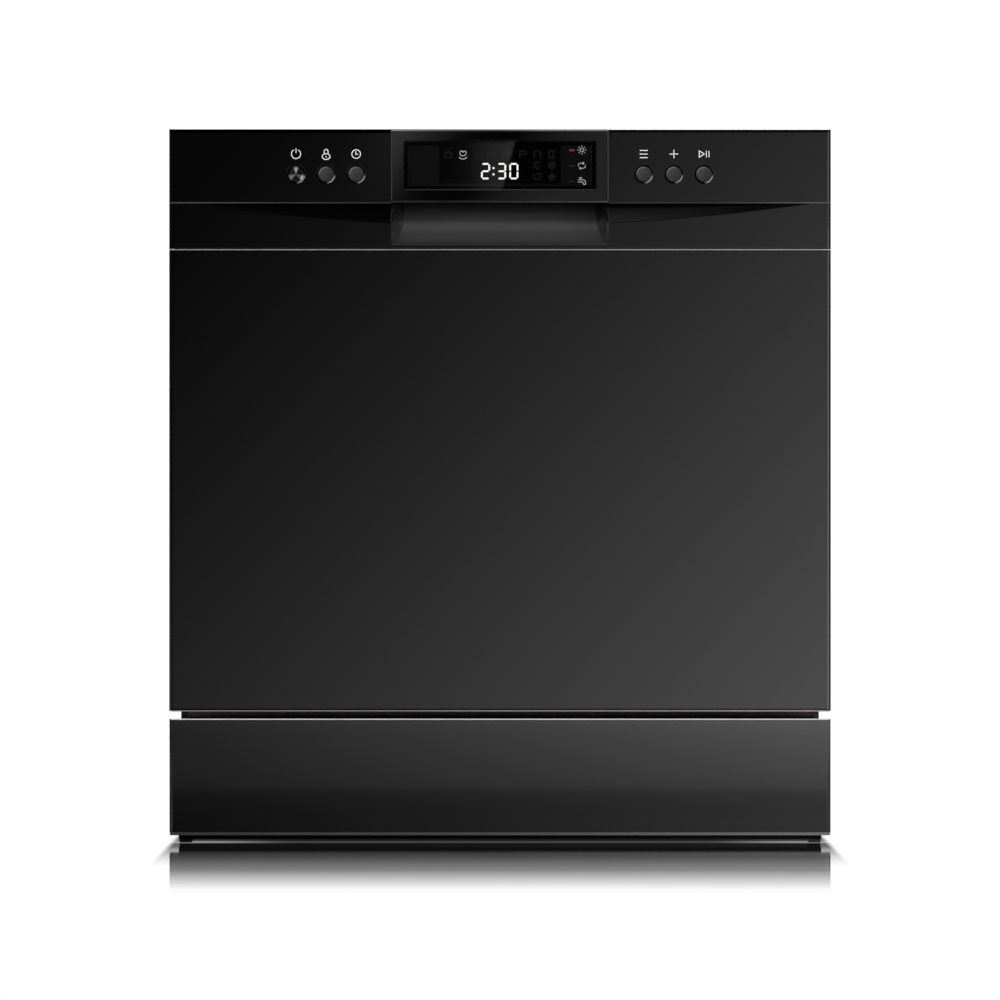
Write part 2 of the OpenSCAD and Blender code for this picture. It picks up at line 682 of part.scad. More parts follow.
module door_panel() color(gloss_black) difference() {
    front_block(door_hw, face_y, return_y, door_bottom, seam_z, edge_r, 1, 2);
    translate([0, 0, skin]) front_block(door_hw - skin, face_y + skin, return_y + 1, door_bottom, seam_z + 50,
        edge_r - skin, 1, 1);
    both_sides() box([bracket_x - bracket_t - 10, face_y + 3, door_bottom - 1],
        [flange_x + 1, return_y + 1, door_bottom + 2]);
}

// Handle pocket form, grown by g
module pocket_form(g) intersection() {
    rod_x(-display_w / 2 - g, display_w / 2 + g, pocket_y, pocket_cz, pocket_r + g);
    along_z(pocket_z - 2 * g, pocket_top + g) polygon([
        [-display_w / 2 - g, face_y - 10], [display_w / 2 + g, face_y - 10],
        [display_w / 2 + g, face_y], [display_w / 2 - pocket_draft + g, pocket_y + pocket_r + g],
        [-display_w / 2 + pocket_draft - g, pocket_y + pocket_r + g], [-display_w / 2 - g, face_y]]);
}

// Shallow scoop under the ledge: a very wide cylinder, leaning forward
module scoop_cut() {
    lean = atan(scoop_slope);
    r = scoop_half_w * scoop_half_w / (2 * scoop_depth * cos(lean));
    intersection() {
        translate([0, face_y + scoop_depth, ledge_z]) rotate([-lean, 0, 0])
            translate([0, -r, -60]) cylinder(r = r, h = 120, $fn = 1440);
        box([-scoop_half_w, face_y - 5, fascia_bottom], [scoop_half_w, face_y + 20, ledge_z]);
    }
}

button_sites = [for (s = [-1, 1]) for (k = [-1 : 1]) s * button_x + k * button_pitch];
module control_fascia() color(gloss_black) difference() {
    union() {
        difference() {
            front_block(door_hw, face_y, return_y, fascia_bottom, door_top, edge_r, edge_r, 1);
            box([-door_hw + fascia_wall, face_y + scoop_depth + fascia_wall, fascia_bottom - 1],
                [door_hw - fascia_wall, 0, door_top - fascia_wall]);
            box([-door_hw + fascia_wall, face_y + fascia_wall, ledge_z + 1.5],
                [door_hw - fascia_wall, 0, door_top - fascia_wall]);
        }
        intersection() {
            pocket_form(fascia_wall);
            box([-door_hw, face_y + 1, fascia_bottom], [door_hw, 0, door_top]);
        }
    }
    pocket_form(0);
    scoop_cut();
    box([-display_w / 2 - 0.1, face_y - 1, ledge_z - 0.1], [display_w / 2 + 0.1, frame_back, door_top + 1]);
    for (x = button_sites) {
        rod_y(x, face_y - 1, face_y + 10, button_z, button_r + button_gap);
        translate([x, face_y - eps, button_z]) rotate([-90, 0, 0])
            cylinder(r1 = button_r + 1.7, r2 = button_r + 0.2, h = 1.2);
    }
}

module display_frame() color(gloss_black) difference() {
    front_block(display_w / 2, front_y, frame_back, ledge_z, door_top, 1.2, 2, 1.2);
    box([-window_w / 2, front_y - 1, window_z[0]], [window_w / 2, front_y + 2.4, window_z[1]]);
    box([-window_w / 2 + 3, front_y, window_z[0] + 3], [window_w / 2 - 3, frame_back + 1, window_z[1] - 3]);
}

module display_window() color([0.05, 0.05, 0.06, 0.6])
    box([-window_w / 2, front_y + 0.6, window_z[0]], [window_w / 2, front_y + 2.4, window_z[1]]);

lcd_hw = 50.3;
lcd_z = [window_z[0] + 5.9, window_z[1] - 3.2];
board_hw = button_x + button_pitch + 15.5;
module control_board() color([0.05, 0.25, 0.12]) {
    box([-board_hw, board_y, board_bottom], [board_hw, board_y + board_t, door_top - 8]);
    box([-window_w / 2 + 3.5, front_y + 4, window_z[0] + 3.5],
        [window_w / 2 - 3.5, front_y + 5, window_z[1] - 3.5]);
    box([-lcd_hw, front_y + 2.8, lcd_z[0]], [lcd_hw, frame_back - 1, lcd_z[1]]);
    box([-lcd_hw + 4, frame_back - 2, board_bottom + 1], [lcd_hw - 4, board_y + 0.5, lcd_z[1] - 3]);
    for (x = button_sites) rod_y(x, board_y - 1.2, board_y + 0.5, button_z, 3);
    for (k = [-2 : 3]) translate([(k - 0.5) * 60, board_y + board_t - 0.1, board_bottom + 8])
        box([-9, 0, 0], [9, 7 - board_t + 0.1, door_top - 22 - board_bottom]);
}

module inner_door_panel() color(steel) {
    difference() {
        union() {
            box([-door_hw + 1.6, return_y, door_bottom + 2.5], [door_hw - 1.6, inner_y, door_top - 3]);
            box([-dish_hw, return_y - dish_d, dish_z[0]], [dish_hw, inner_y, dish_z[1]]);
            both_sides() box([flange_x, hinge_y + 1, notch_z],
                [flange_x + sheet, return_y + 0.1, door_top - 5]);
        }
        box([-dish_hw + sheet, inner_y - dish_d, dish_z[0] + sheet],
            [dish_hw - sheet, inner_y + 1, dish_z[1] - sheet]);
        box([-disp_hw, return_y - 10, disp_z[0]], [disp_hw, inner_y + 1, disp_z[1]]);
        box([-8, return_y - 10, height - 28], [8, inner_y + 1, height - 3 + eps]);
        both_sides() box([bracket_x - bracket_t - 5, return_y - 10, 100],
            [flange_x + 1, inner_y + 1, notch_z]);
    }
    both_sides() for (x = [disp_hw + 35, dish_hw - 75, dish_hw - 35])
        bead(x, inner_y - dish_d, dish_z[0] + 40, dish_z[1] - 40);
}

module dispenser_body() color(grey_plastic) {
    difference() {
        union() {
            box([-disp_hw, inner_y - 34, disp_z[0]], [disp_hw, disp_face, disp_z[1]]);
            box([-disp_hw - 5, inner_y - dish_d, disp_z[0] - 5],
                [disp_hw + 5, inner_y - dish_d + 2, disp_z[1] + 5]);
        }
        box([cup_x[0], inner_y - 30, cup_z[0]], [cup_x[1], disp_face + 1, cup_z[1]]);
        rod_y(rinse_at[0], inner_y - 12, disp_face + 1, rinse_at[1], 9 + run_gap);
    }
    for (x = [cup_x[0] - 5, cup_x[1] + 1]) {
        box([x, disp_face - 1, lid_axis[1] - 2.5], [x + 4, lid_axis[0], lid_axis[1] + 2.5]);
        rod_x(x, x + 4, lid_axis[0], lid_axis[1], 2.5);
    }
    rod_x(cup_x[0] - 4, cup_x[1] + 4, lid_axis[0], lid_axis[1], lid_pin_r);
}

module dispenser_lid() color(white_plastic) difference() {
    union() {
        box([cup_x[0] - 3, disp_face + arm_gap, lid_axis[1] + 3.4],
            [cup_x[1] + 4, lid_axis[0], cup_z[1] + 4]);
        box([cup_x[0] + 2, disp_face + arm_gap + 0.3, lid_axis[1]],
            [cup_x[1] - 2, lid_axis[0], lid_axis[1] + 4]);
        rod_x(cup_x[0] + 1, cup_x[1] - 1, lid_axis[0], lid_axis[1], 2.2);
        box([-46, disp_face + 2, cup_z[1] - 6], [-26, disp_face + 5, cup_z[1] - 1]);
    }
    rod_x(cup_x[0], cup_x[1], lid_axis[0], lid_axis[1], lid_pin_r + run_gap);
}

module rinse_cap() color(white_plastic) translate([rinse_at[0], 0, rinse_at[1]]) {
    rod_y(0, inner_y - 10, disp_face + 1, 0, 9);
    rod_y(0, disp_face + arm_gap, disp_face + 2.5, 0, 17);
    box([-13, disp_face + 2, -2], [13, disp_face + 5, 2]);
}

slot_hw = 6.6;
module latch_housing() color(body_black) {
    difference() {
        box([-28, latch_y - 12, latch_z - 20], [28, return_y - dish_d, latch_z + 14]);
        box([-slot_hw, latch_y - 8, latch_z - 12], [slot_hw, 0, latch_z + 15]);
    }
    rod_x(-slot_hw - 1, slot_hw + 1, latch_y, latch_z, latch_pin_r);
}

module latch_hook() color(white_plastic) difference() {
    along_x(-slot_hw + 0.4, slot_hw - 0.4) {
        translate([latch_y, latch_z]) circle(5);
        polygon([[latch_y, latch_z - 5], [latch_y + 37, latch_z - 1], [latch_y + 37, latch_z + 8],
            [latch_y + 33, latch_z + 5.5], [latch_y + 33, latch_z + 3], [latch_y, latch_z + 5]]);
    }
    rod_x(-10, 10, latch_y, latch_z, latch_pin_r + run_gap);
}

// Steel arm inside the door's edge with its hinge pin
module hinge_arm() color(steel) {
    along_x(flange_x - arm_t, flange_x) {
        translate([hinge_y, hinge_z]) circle(11);
        translate([hinge_y - 9, hinge_z]) square([28, 200]);
    }
    rod_x(bracket_x - bracket_t - 10, flange_x - 1, hinge_y, hinge_z, pin_r);
}
module hinge_arm_left() mirror([1, 0, 0]) hinge_arm();
module hinge_arm_right() hinge_arm();

module door_seal() color(rubber_black) along_x(-tub_hw + 1, tub_hw - 1) {
    translate([inner_y, hinge_z + 13]) square([2.2, 10]);
    translate([inner_y + 2.2, hinge_z + 14.5]) circle(1.3);
}

// ---------- buttons ----------

module button(x) translate([x, 0, button_z]) rotate([-90, 0, 0]) rotate_extrude() polygon([
    [0, face_y], [button_r - 1.2, face_y - 0.5], [button_r - 0.3, face_y - 0.2], [button_r, face_y + 0.4],
    [button_r, face_y + fascia_wall + 0.3], [button_r + 1, face_y + fascia_wall + 0.3],
    [button_r + 1, face_y + fascia_wall + 1.3], [2.5, face_y + fascia_wall + 1.3],
    [2.5, board_y - 1.3 - button_travel], [0, board_y - 1.3 - button_travel]]);
module power_button() color(steel) button(button_sites[0]);
module lock_button() color(body_black) button(button_sites[1]);
module delay_button() color(body_black) button(button_sites[2]);
module program_button() color(body_black) button(button_sites[3]);
module extra_button() color(body_black) button(button_sites[4]);
module start_button() color(body_black) button(button_sites[5]);

// ---------- tub parts that move ----------

// Twelve staves round a base disc
module filter_cup() color(grey_plastic) translate([filter[0], filter[1], 0]) {
    difference() {
        union() {
            rod_z(0, 0, 80, floor_z - 4, filter_r);
            rod_z(0, 0, floor_z - 6.5, floor_z - 4, filter_r + 6);
            rod_z(0, 0, floor_z - 5, floor_z + 2, filter_r - 4);
        }
        rod_z(0, 0, 79, floor_z + 3, filter_r - 7);
        for (k = [0 : 11]) rotate([0, 0, 30 * k]) {
            box([filter_r - 10, -5, 90], [filter_r + 1, 5, floor_z - 16]);
            box([filter_r - 10, -wire_gap / 2, 79], [filter_r + 7, wire_gap / 2, floor_z + 3]);
        }
    }
    rod_z(0, 0, 80, 83, filter_r - 7 - wire_gap);
}

module salt_cap() color(white_plastic) translate([salt[0], salt[1], 0]) {
    rod_z(0, 0, floor_z - 8, floor_z + 7, salt_r);
    rod_z(0, 0, floor_z + 6.3, floor_z + 9, salt_r + 7);
    box([-18, -3, floor_z + 8], [18, 3, floor_z + 13]);
}

module float() color(white_plastic) translate([float_at[0], float_at[1], 0]) {
    rod_z(0, 0, 120, floor_z + 4, 4.5);
    translate([0, 0, floor_z + arm_gap]) rotate_extrude() polygon([
        [0, 2], [12, 0], [14, 0], [14, 8], [11, 12], [0, 13.5]]);
}

// Spray arm blade with its hub at the origin: two tapering wings and a row of jets
module blade(t, jets_up) difference() {
    union() {
        for (s = [0, 180]) rotate([0, 0, s]) {
            intersection() {
                linear_extrude(t) {
                    polygon([[0, -24], [arm_reach - 16, -13], [arm_reach - 16, 13], [0, 24]]);
                    translate([arm_reach - 16, 0]) circle(13);
                }
                translate([0, 0, -70 + t]) rotate([0, 90, 0]) cylinder(r = 70, h = arm_reach + 5, $fn = 180);
            }
        }
        cylinder(r = 25, h = t);
    }
    for (s = [0, 180]) rotate([0, 0, s]) for (k = [0 : 4])
        translate([50 + 28 * k, (k % 2) * 8 - 4, jets_up ? t - 4 : -1]) cylinder(r = 1.8, h = 6, $fn = 24);
}
module lower_spray_arm() color(grey_plastic) translate([hub[0], hub[1], 0]) difference() {
    union() {
        translate([0, 0, lower_arm_z]) blade(arm_t_z, true);
        rod_z(0, 0, hub_z[0], hub_z[1], 19);
    }
    rod_z(0, 0, hub_z[0] - 1, hub_z[1] + 1, pipe_r + run_gap);
}

upper_hub_z = [upper_arm_z - 3, upper_arm_z + 12];
upper_pin_r = 9;
module upper_spray_arm() color(grey_plastic) translate([hub[0], hub[1], 0]) difference() {
    union() {
        translate([0, 0, upper_arm_z]) blade(arm_t_z, true);
        rod_z(0, 0, upper_hub_z[0], upper_hub_z[1], 17);
    }
    rod_z(0, 0, upper_hub_z[0] - 1, upper_hub_z[1] + 1, upper_pin_r + run_gap);
}

module arm_duct() color(grey_plastic) difference() {
    union() {
        rod_y(0, hub[1] - 14, tub_rear - feed_d - 5 - 1, upper_mat_z - 7, 7);
        rod_z(hub[0], hub[1], upper_hub_z[0] - 3, upper_mat_z - 4, upper_pin_r);
        rod_z(hub[0], hub[1], upper_hub_z[0] - 3.3, upper_hub_z[0] - arm_gap, upper_pin_r + 5);
        rod_z(hub[0], hub[1], upper_hub_z[1] + arm_gap, upper_mat_z - 1, upper_pin_r + 7);
    }
    rod_y(0, hub[1] - 5, tub_rear, upper_mat_z - 7, 5);
    rod_z(hub[0], hub[1], upper_hub_z[0] - 1, upper_mat_z - 5, 6.5);
}

// ---------- racks ----------

module wheel(x, y, z, r, w, bore) translate([x, y, z]) rotate([0, 90, 0]) difference() {
    rotate_extrude() polygon([
        [0, -w / 2], [r - 1, -w / 2], [r, -w / 2 + 1], [r, w / 2 - 1], [r - 1, w / 2],
        [r - 2.2, w / 2], [r - 2.7, w / 2 - 1.5], [bore + 2.6, w / 2 - 1.5], [bore + 2.1, w / 2],
        [0, w / 2]]);
    translate([0, 0, -w]) cylinder(r = bore, h = 2 * w);
}

module lower_rack() color(steel) {
    wire_basket(lower_half_w, lower_y, lower_mat_z, lower_top, 14, 12);
    tine_z = mat_top_of(lower_mat_z);
    for (x = [-170, -100, -30, 40, 110, 180])
        tine_row(x, wheel_y[0] + 44, lower_y[1] - 20, tine_z, lower_top - 16, 24);
    both_sides() for (y = wheel_y) {
        box([lower_half_w + 0.1, y - 10, wheel_z - 8],
            [wheel_x - wheel_w / 2 - arm_gap, y + 10, lower_mat_z + 30]);
        rod_x(lower_half_w + 1, wheel_x + wheel_w / 2 + 1, y, wheel_z, axle_r);
    }
}
module lower_wheels(y) color(grey_plastic) both_sides()
    wheel(wheel_x, y, wheel_z, wheel_r, wheel_w, axle_r + run_gap);
module lower_wheels_front() lower_wheels(wheel_y[0]);
module lower_wheels_rear() lower_wheels(wheel_y[1]);

basket_x = [-90, 120];
basket_y = [lower_y[0] + 6, lower_y[0] + 76];
basket_z = [mat_top_of(lower_mat_z), lower_top + 2];
basket_t = 2;
basket_h = basket_z[1] - basket_z[0];
basket_rows = [basket_z[0] + basket_h / 10, basket_z[0] + basket_h * 0.52];
basket_slot = basket_h / 3;
// Wall along X of the basket at y, and wall along Y at x, both with their slots
module basket_wall_x(y) difference() {
    box([basket_x[0], y, basket_z[0] + basket_t + wire_gap], [basket_x[1], y + basket_t, basket_z[1]]);
    for (x = [basket_x[0] + 10 : 10 : basket_x[1] - 10]) for (z = basket_rows)
        box([x - 2.5, y - 1, z], [x + 2.5, y + basket_t + 1, z + basket_slot]);
}
module basket_wall_y(x) difference() {
    box([x, basket_y[0] + basket_t + wire_gap, basket_z[0] + basket_t + wire_gap],
        [x + basket_t, basket_y[1] - basket_t - wire_gap, basket_z[1]]);
    for (y = [basket_y[0] + 12 : 12 : basket_y[1] - 8]) for (z = basket_rows)
        box([x - 1, y - 2.5, z], [x + basket_t + 1, y + 2.5, z + basket_slot]);
}
module cutlery_basket() color(grey_plastic) {
    box([basket_x[0], basket_y[0], basket_z[0]], [basket_x[1], basket_y[1], basket_z[0] + basket_t]);
    basket_wall_x(basket_y[0]);
    basket_wall_x(basket_y[1] - basket_t);
    for (k = [0 : 3]) basket_wall_y(basket_x[0] + k * (basket_x[1] - basket_x[0] - basket_t) / 3);
}

module upper_rack() color(steel) {
    wire_basket(upper_half_w, upper_y, upper_mat_z, upper_top, 13, 12);
    tine_z = mat_top_of(upper_mat_z);
    for (x = [-60, 20, 100, 170])
        tine_row(x, upper_y[0] + 24, upper_y[1] - 20, tine_z, upper_top - 16, 26);
    half_h = roller_r + roll_gap + rail_t;
    both_sides() {
        box([rail_x[0], rail_y[0], roller_z - half_h], [rail_x[0] + rail_t, rail_y[1], roller_z + half_h]);
        for (z = [-half_h, half_h - rail_t])
            box([rail_x[0] + rail_t + wire_gap, rail_y[0], roller_z + z],
                [rail_x[1], rail_y[1], roller_z + z + rail_t]);
        for (y = [upper_y[0] + 40, upper_y[1] - 40])
            box([upper_half_w + wire_gap, y - 12, roller_z - 10], [rail_x[0], y + 12, roller_z + 10]);
    }
    clip_x = -upper_half_w + 2 * wire_d - wire_lap + wire_gap;
    for (y = shelf_clips) difference() {
        box([clip_x, y - 3, upper_top - 8], [shelf_x + 4, y + 3, shelf_z + 4]);
        rod_y(shelf_x, y - 4, y + 4, shelf_z, wire_d / 2 + run_gap);
    }
}

module upper_rollers(y) color(white_plastic) both_sides()
    wheel(roller_x, y, roller_z, roller_r, roller_w, axle_r + run_gap);
module upper_rollers_front() upper_rollers(roller_y[0]);
module upper_rollers_rear() upper_rollers(roller_y[1]);

shelf_x = -upper_half_w + 12;
shelf_z = upper_top + 6;
shelf_half = 120;
shelf_clips = [-80, 80];
shelf_w = 84;
module cup_shelf() color(steel) {
    rod_y(shelf_x, -shelf_half, shelf_half, shelf_z, wire_d / 2);
    translate([shelf_x, 0, shelf_z + shelf_w / 2]) rotate([0, 90, 0])
        lattice(shelf_w, 2 * shelf_half - 4, 4, 11);
}

base_tray();
feet();
kick_panel();
side_panel_left();
side_panel_right();
top_cover();
rear_panel();
tub_wrap();
tub_back();
tub_floor();
tub_gasket();
sump();
filter_plate();
wash_pump();
drain_pump();
feed_tube();
softener_tank();
inlet_valve();
drain_outlet();
cable_gland();
hinge_brackets();
door_springs();
rail_brackets();
striker();
panel_screws();
door_panel();
control_fascia();
display_frame();
display_window();
control_board();
inner_door_panel();
dispenser_body();
latch_housing();
hinge_arm_left();
hinge_arm_right();
door_seal();
power_button();
lock_button();
delay_button();
program_button();
extra_button();
start_button();
dispenser_lid();
rinse_cap();
latch_hook();
filter_cup();
salt_cap();
float();
lower_spray_arm();
upper_spray_arm();
lower_rack();
cutlery_basket();
lower_wheels_front();
lower_wheels_rear();
upper_rack();
arm_duct();
cup_shelf();
upper_rollers_front();
upper_rollers_rear();
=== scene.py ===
import math

import bpy
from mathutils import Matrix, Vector


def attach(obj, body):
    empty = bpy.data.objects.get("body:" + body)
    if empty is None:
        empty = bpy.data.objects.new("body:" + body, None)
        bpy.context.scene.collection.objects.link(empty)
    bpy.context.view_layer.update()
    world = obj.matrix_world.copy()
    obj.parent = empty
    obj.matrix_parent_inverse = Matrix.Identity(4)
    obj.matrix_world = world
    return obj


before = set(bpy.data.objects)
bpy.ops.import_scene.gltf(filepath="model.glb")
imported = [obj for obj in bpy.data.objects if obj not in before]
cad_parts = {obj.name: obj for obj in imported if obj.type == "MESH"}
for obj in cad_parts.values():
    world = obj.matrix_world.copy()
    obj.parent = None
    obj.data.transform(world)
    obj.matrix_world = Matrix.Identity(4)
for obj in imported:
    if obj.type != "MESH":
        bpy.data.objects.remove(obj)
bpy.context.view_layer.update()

scene = bpy.context.scene
scene.view_settings.view_transform = "Standard"
print("frame loaded:", len(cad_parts), "nodes")


# one shader value that can be added, scaled and so on
class Wire:
    def __init__(self, look, socket):
        self.look, self.socket = look, socket

    def __add__(self, other): return self.look.maths("ADD", self, other)
    def __radd__(self, other): return self.look.maths("ADD", other, self)
    def __sub__(self, other): return self.look.maths("SUBTRACT", self, other)
    def __rsub__(self, other): return self.look.maths("SUBTRACT", other, self)
    def __mul__(self, other): return self.look.maths("MULTIPLY", self, other)
    def __rmul__(self, other): return self.look.maths("MULTIPLY", other, self)
    def __truediv__(self, other): return self.look.maths("DIVIDE", self, other)
    def __pow__(self, other): return self.look.maths("POWER", self, other)


# the node tree of one material, or of the world
class Look:
    def __init__(self, owner):
        self.owner = owner
        owner.use_nodes = True
        self.tree = owner.node_tree
        self.tree.nodes.clear()

    def feed(self, socket, value):
        if isinstance(value, Wire):
            self.tree.links.new(value.socket, socket)
        else:
            socket.default_value = value

    def node(self, kind, settings=None, values=None, out=0):
        made = self.tree.nodes.new(kind)
        for key, value in (settings or {}).items():
            if key == "stops":  # ramp stops: place, brightness or colour
                ramp = made.color_ramp
                while len(ramp.elements) < len(value):
                    ramp.elements.new(1.0)
                for element, (place, colour) in zip(ramp.elements, value):
                    element.position = place
                    element.color = colour
            else:
                setattr(made, key, value)
        pairs = values.items() if isinstance(values, dict) else enumerate(values or [])
        for key, value in pairs:
            self.feed(made.inputs[key], value)
        return Wire(self, made.outputs[out])

    def other(self, wire, out):  # another output of the same node
        return Wire(self, wire.socket.node.outputs[out])

    def place(self):  # object coordinates as one vector and as x, y, z
        where = self.node("ShaderNodeTexCoord", out="Object")
        x = self.node("ShaderNodeSeparateXYZ", None, [where])
        return where, x, self.other(x, 1), self.other(x, 2)

    def stretched(self, where, scale):
        return self.node("ShaderNodeMapping", None, {"Vector": where, "Scale": scale})

    def noise(self, where, scale, detail=3.0):
        return self.node("ShaderNodeTexNoise", None, {"Vector": where, "Scale": scale, "Detail": detail})

    def maths(self, operation, *values):
        return self.node("ShaderNodeMath", {"operation": operation}, values)

    def absolute(self, value):
        return self.maths("ABSOLUTE", value)

    def greater(self, first, second):
        return self.maths("MAXIMUM", first, second)

    def radius(self, dx, dz):
        return (dx * dx + dz * dz) ** 0.5

    def ramp(self, value, low, high, atLow=0.0, atHigh=1.0):  # smooth step between two values
        return self.node("ShaderNodeMapRange", {"interpolation_type": "SMOOTHSTEP"},
                         [value, low, high, atLow, atHigh])

    def fade(self, value, low, high):  # smooth step from 1 down to 0
        return self.ramp(value, low, high, 1.0, 0.0)

    def line(self, value, low, high, atLow=0.0, atHigh=1.0):  # straight, clamped
        return self.node("ShaderNodeMapRange", None, [value, low, high, atLow, atHigh])

    def stops(self, value, pairs):  # grey level by place, places from 0 to 1
        levels = [(place, (level, level, level, 1)) for place, level in pairs]
        return self.node("ShaderNodeValToRGB", {"stops": levels}, [value])

    def band(self, value, low, high, soft):  # 1 between two values
        return self.ramp(value, low - soft, low) * self.fade(value, high, high + soft)

    def choose(self, factor, first, second):  # one number or another
        return self.node("ShaderNodeMix", {"data_type": "FLOAT"}, {0: factor, 2: first, 3: second})

    def mix(self, factor, first, second):  # one colour or another
        return self.node("ShaderNodeMix", {"data_type": "RGBA"}, {0: factor, 6: first, 7: second}, out=2)

    def blend(self, factor, first, second):  # one shader or another
        return self.node("ShaderNodeMixShader", None, [factor, first, second])

    def light(self, strength):
        return self.node("ShaderNodeEmission", None, {"Color": (1, 1, 1, 1), "Strength": strength})

    def bump(self, height, distance):
        return self.node("ShaderNodeBump", None, {"Height": height, "Distance": distance, "Strength": 1.0})

    def principled(self, sockets):
        return self.node("ShaderNodeBsdfPrincipled", None, sockets, out="BSDF")

    def surface(self, sockets):
        return self.close(self.principled(sockets))

    def close(self, shader):
        output = self.tree.nodes.new("ShaderNodeOutputMaterial")
        self.tree.links.new(shader.socket, output.inputs["Surface"])
        return self.owner


def newLook(name):
    return Look(bpy.data.materials.new(name))


def grey(value):
    return (value, value, value, 1.0)


def tinted(colour, scale):  # a colour made darker or lighter, no channel above 1
    return tuple(min(1.0, c * scale) for c in colour) + (1.0,)


# ---- camera: straight at the front, 6 m away
cameraPlan = {"away": 6.0, "frontY": -0.25, "eyeZ": 0.2858, "frameWidth": 0.8308, "sensor": 36.0, "farthest": 60}
bpy.ops.object.camera_add(location=(0, cameraPlan["frontY"] - cameraPlan["away"], cameraPlan["eyeZ"]),
                          rotation=(math.radians(90), 0, 0))
camera = bpy.context.object
camera.name = "frontCamera"
camera.data.sensor_width = cameraPlan["sensor"]
camera.data.lens = cameraPlan["sensor"] * cameraPlan["away"] / cameraPlan["frameWidth"]
camera.data.clip_end = cameraPlan["farthest"]
scene.camera = camera
print("camera set")


# ---- studio. Tones are display values out of 255, places are metres
whiteLight = 1.02
floorPlan = {
    "size": 40.0, "offCamera": 0.9, "mirrorRough": 0.05,
    "sheenY": [-1.1, -0.2], "asideX": [0.32, 0.42], "behindY": [-0.12, 0.05],
    "sheenStops": [(0.0, 0.0), (0.158, 0.05), (0.312, 0.44), (0.476, 0.8), (0.648, 0.925), (0.744, 0.975),
                   (0.83, 0.996), (1.0, 0.996)],
    # painted light on the floor in the dark gap under the kick panel, more at its two ends: its front, its rear, its
    # two ends
    "gapFrontY": [-0.245, -0.22], "gapRearY": [-0.203, -0.19, 1.0, 0.1],
    "gapLeast": 0.05, "gapEndX": [0.17, 0.25, 0.0, 0.2],
    # what the front panels mirror of the floor, dark to light from left to right
    "mirroredY": [-1.9, -1.5], "mirroredEndY": [-0.1, 0.1], "mirroredTone": [-0.30, 0.30, 8.0, 46.0],
    # painted shadow on the floor: its mirror turns dark towards the machine
    "shadeY": [-0.62, -0.26], "shadeEndX": [0.270, 0.277],
    "shadeStops": [(0.0, 0.0), (0.29, 0.2), (0.74, 0.62), (0.92, 0.86), (1.0, 0.86)],
}
cardPlan = {
    "y": -1.25, "half": 1.6, "top": 2.0,
    # the door's tone: a level, its rise with x and its fall with z, and its limits
    "tone": 60.6, "toneX": 66, "toneZ": 63.9, "toneRange": [3.0, 110.0],
    # what the display mirrors: its frame across a slanted dark band, its glass up to a slanted edge
    "bandX": -0.0505, "bandZ": 0.58, "bandSlope": 0.86, "bandHalf": 0.11, "bandTone": 60.0,
    "bandStops": [(0.0, 0.83), (0.09, 0.72), (0.2, 0.5), (0.264, 0.35), (0.318, 0.22), (0.373, 0.11),
                  (0.436, 0.025), (0.5, 0.008), (0.564, 0.033), (0.6, 0.133), (0.64, 0.208), (0.71, 0.35),
                  (0.773, 0.425), (0.864, 0.5), (1.0, 0.57)],
    "edgeX": 0.0019, "edgeZ": 0.5858, "edgeSlope": 0.268, "edgeSoft": 0.0006, "glassX": [-0.1, 0.02],
    "glassStops": [(0.0, 0.0), (0.2, 0.03), (0.36, 0.035), (0.43, 0.065), (0.51, 0.085), (0.59, 0.165),
                   (0.71, 0.43), (0.83, 0.62), (0.92, 0.85)],
    # soft-edged boxes of the glass and of the display: half width, lower and upper edge
    "glassBox": {"x": [0.0928, 0.0938], "low": [0.5862, 0.5872], "high": [0.6328, 0.6338]},
    "displayBox": {"x": [0.106, 0.115], "low": [0.565, 0.575], "high": [0.650, 0.66]},
}
skyPlan = {"y": [-0.15, 0.35, 0.04, 1.0]}


# turns a tone into the light that a 4% mirror needs to show it
def toneLight(tone):
    return ((tone / 255 + 0.055) / 1.055) ** 2.4 / 0.04


def makeFloor(plan):
    bpy.ops.mesh.primitive_plane_add(size=plan["size"], location=(0, 0, 0))
    floor = bpy.context.object
    floor.name = "studioFloor"
    look = newLook("floorWhite")
    x, y = look.place()[1:3]
    seen = look.node("ShaderNodeLightPath", out="Is Camera Ray")
    side = look.absolute(x)
    near = look.stops(look.line(y, *plan["sheenY"]), plan["sheenStops"])
    aside = look.fade(side, *plan["asideX"])
    # painted light: in the gap under the kick panel a little of the floor's white comes back
    inGap = look.ramp(y, *plan["gapFrontY"]) * look.ramp(y, *plan["gapRearY"])
    under = 1 - inGap * (plan["gapLeast"] + look.ramp(side, *plan["gapEndX"]))
    behind = look.fade(y, *plan["behindY"])
    shineAmount = near * aside * behind * under * seen
    front = look.ramp(y, *plan["mirroredY"]) * look.fade(y, *plan["mirroredEndY"]) * aside
    dim = toneLight(look.line(x, *plan["mirroredTone"]))
    glow = look.light(look.choose(seen, look.choose(front, plan["offCamera"], dim), whiteLight))
    mirror = look.node("ShaderNodeBsdfGlossy", None, {"Color": (1, 1, 1, 1), "Roughness": plan["mirrorRough"]})
    # painted shadow: the mirror gives way to black near the door
    dark = look.stops(look.line(y, *plan["shadeY"]), plan["shadeStops"]) * look.fade(side, *plan["shadeEndX"])
    sheen = look.blend(dark, mirror, look.light(0.0))
    look.close(look.blend(shineAmount, glow, sheen))
    floor.data.materials.append(look.owner)


def softBox(look, x, z, box):
    near, far = box["x"]
    return (look.ramp(z, *box["low"]) * look.fade(z, *box["high"])
            * look.ramp(x, -far, -near) * look.fade(x, near, far))


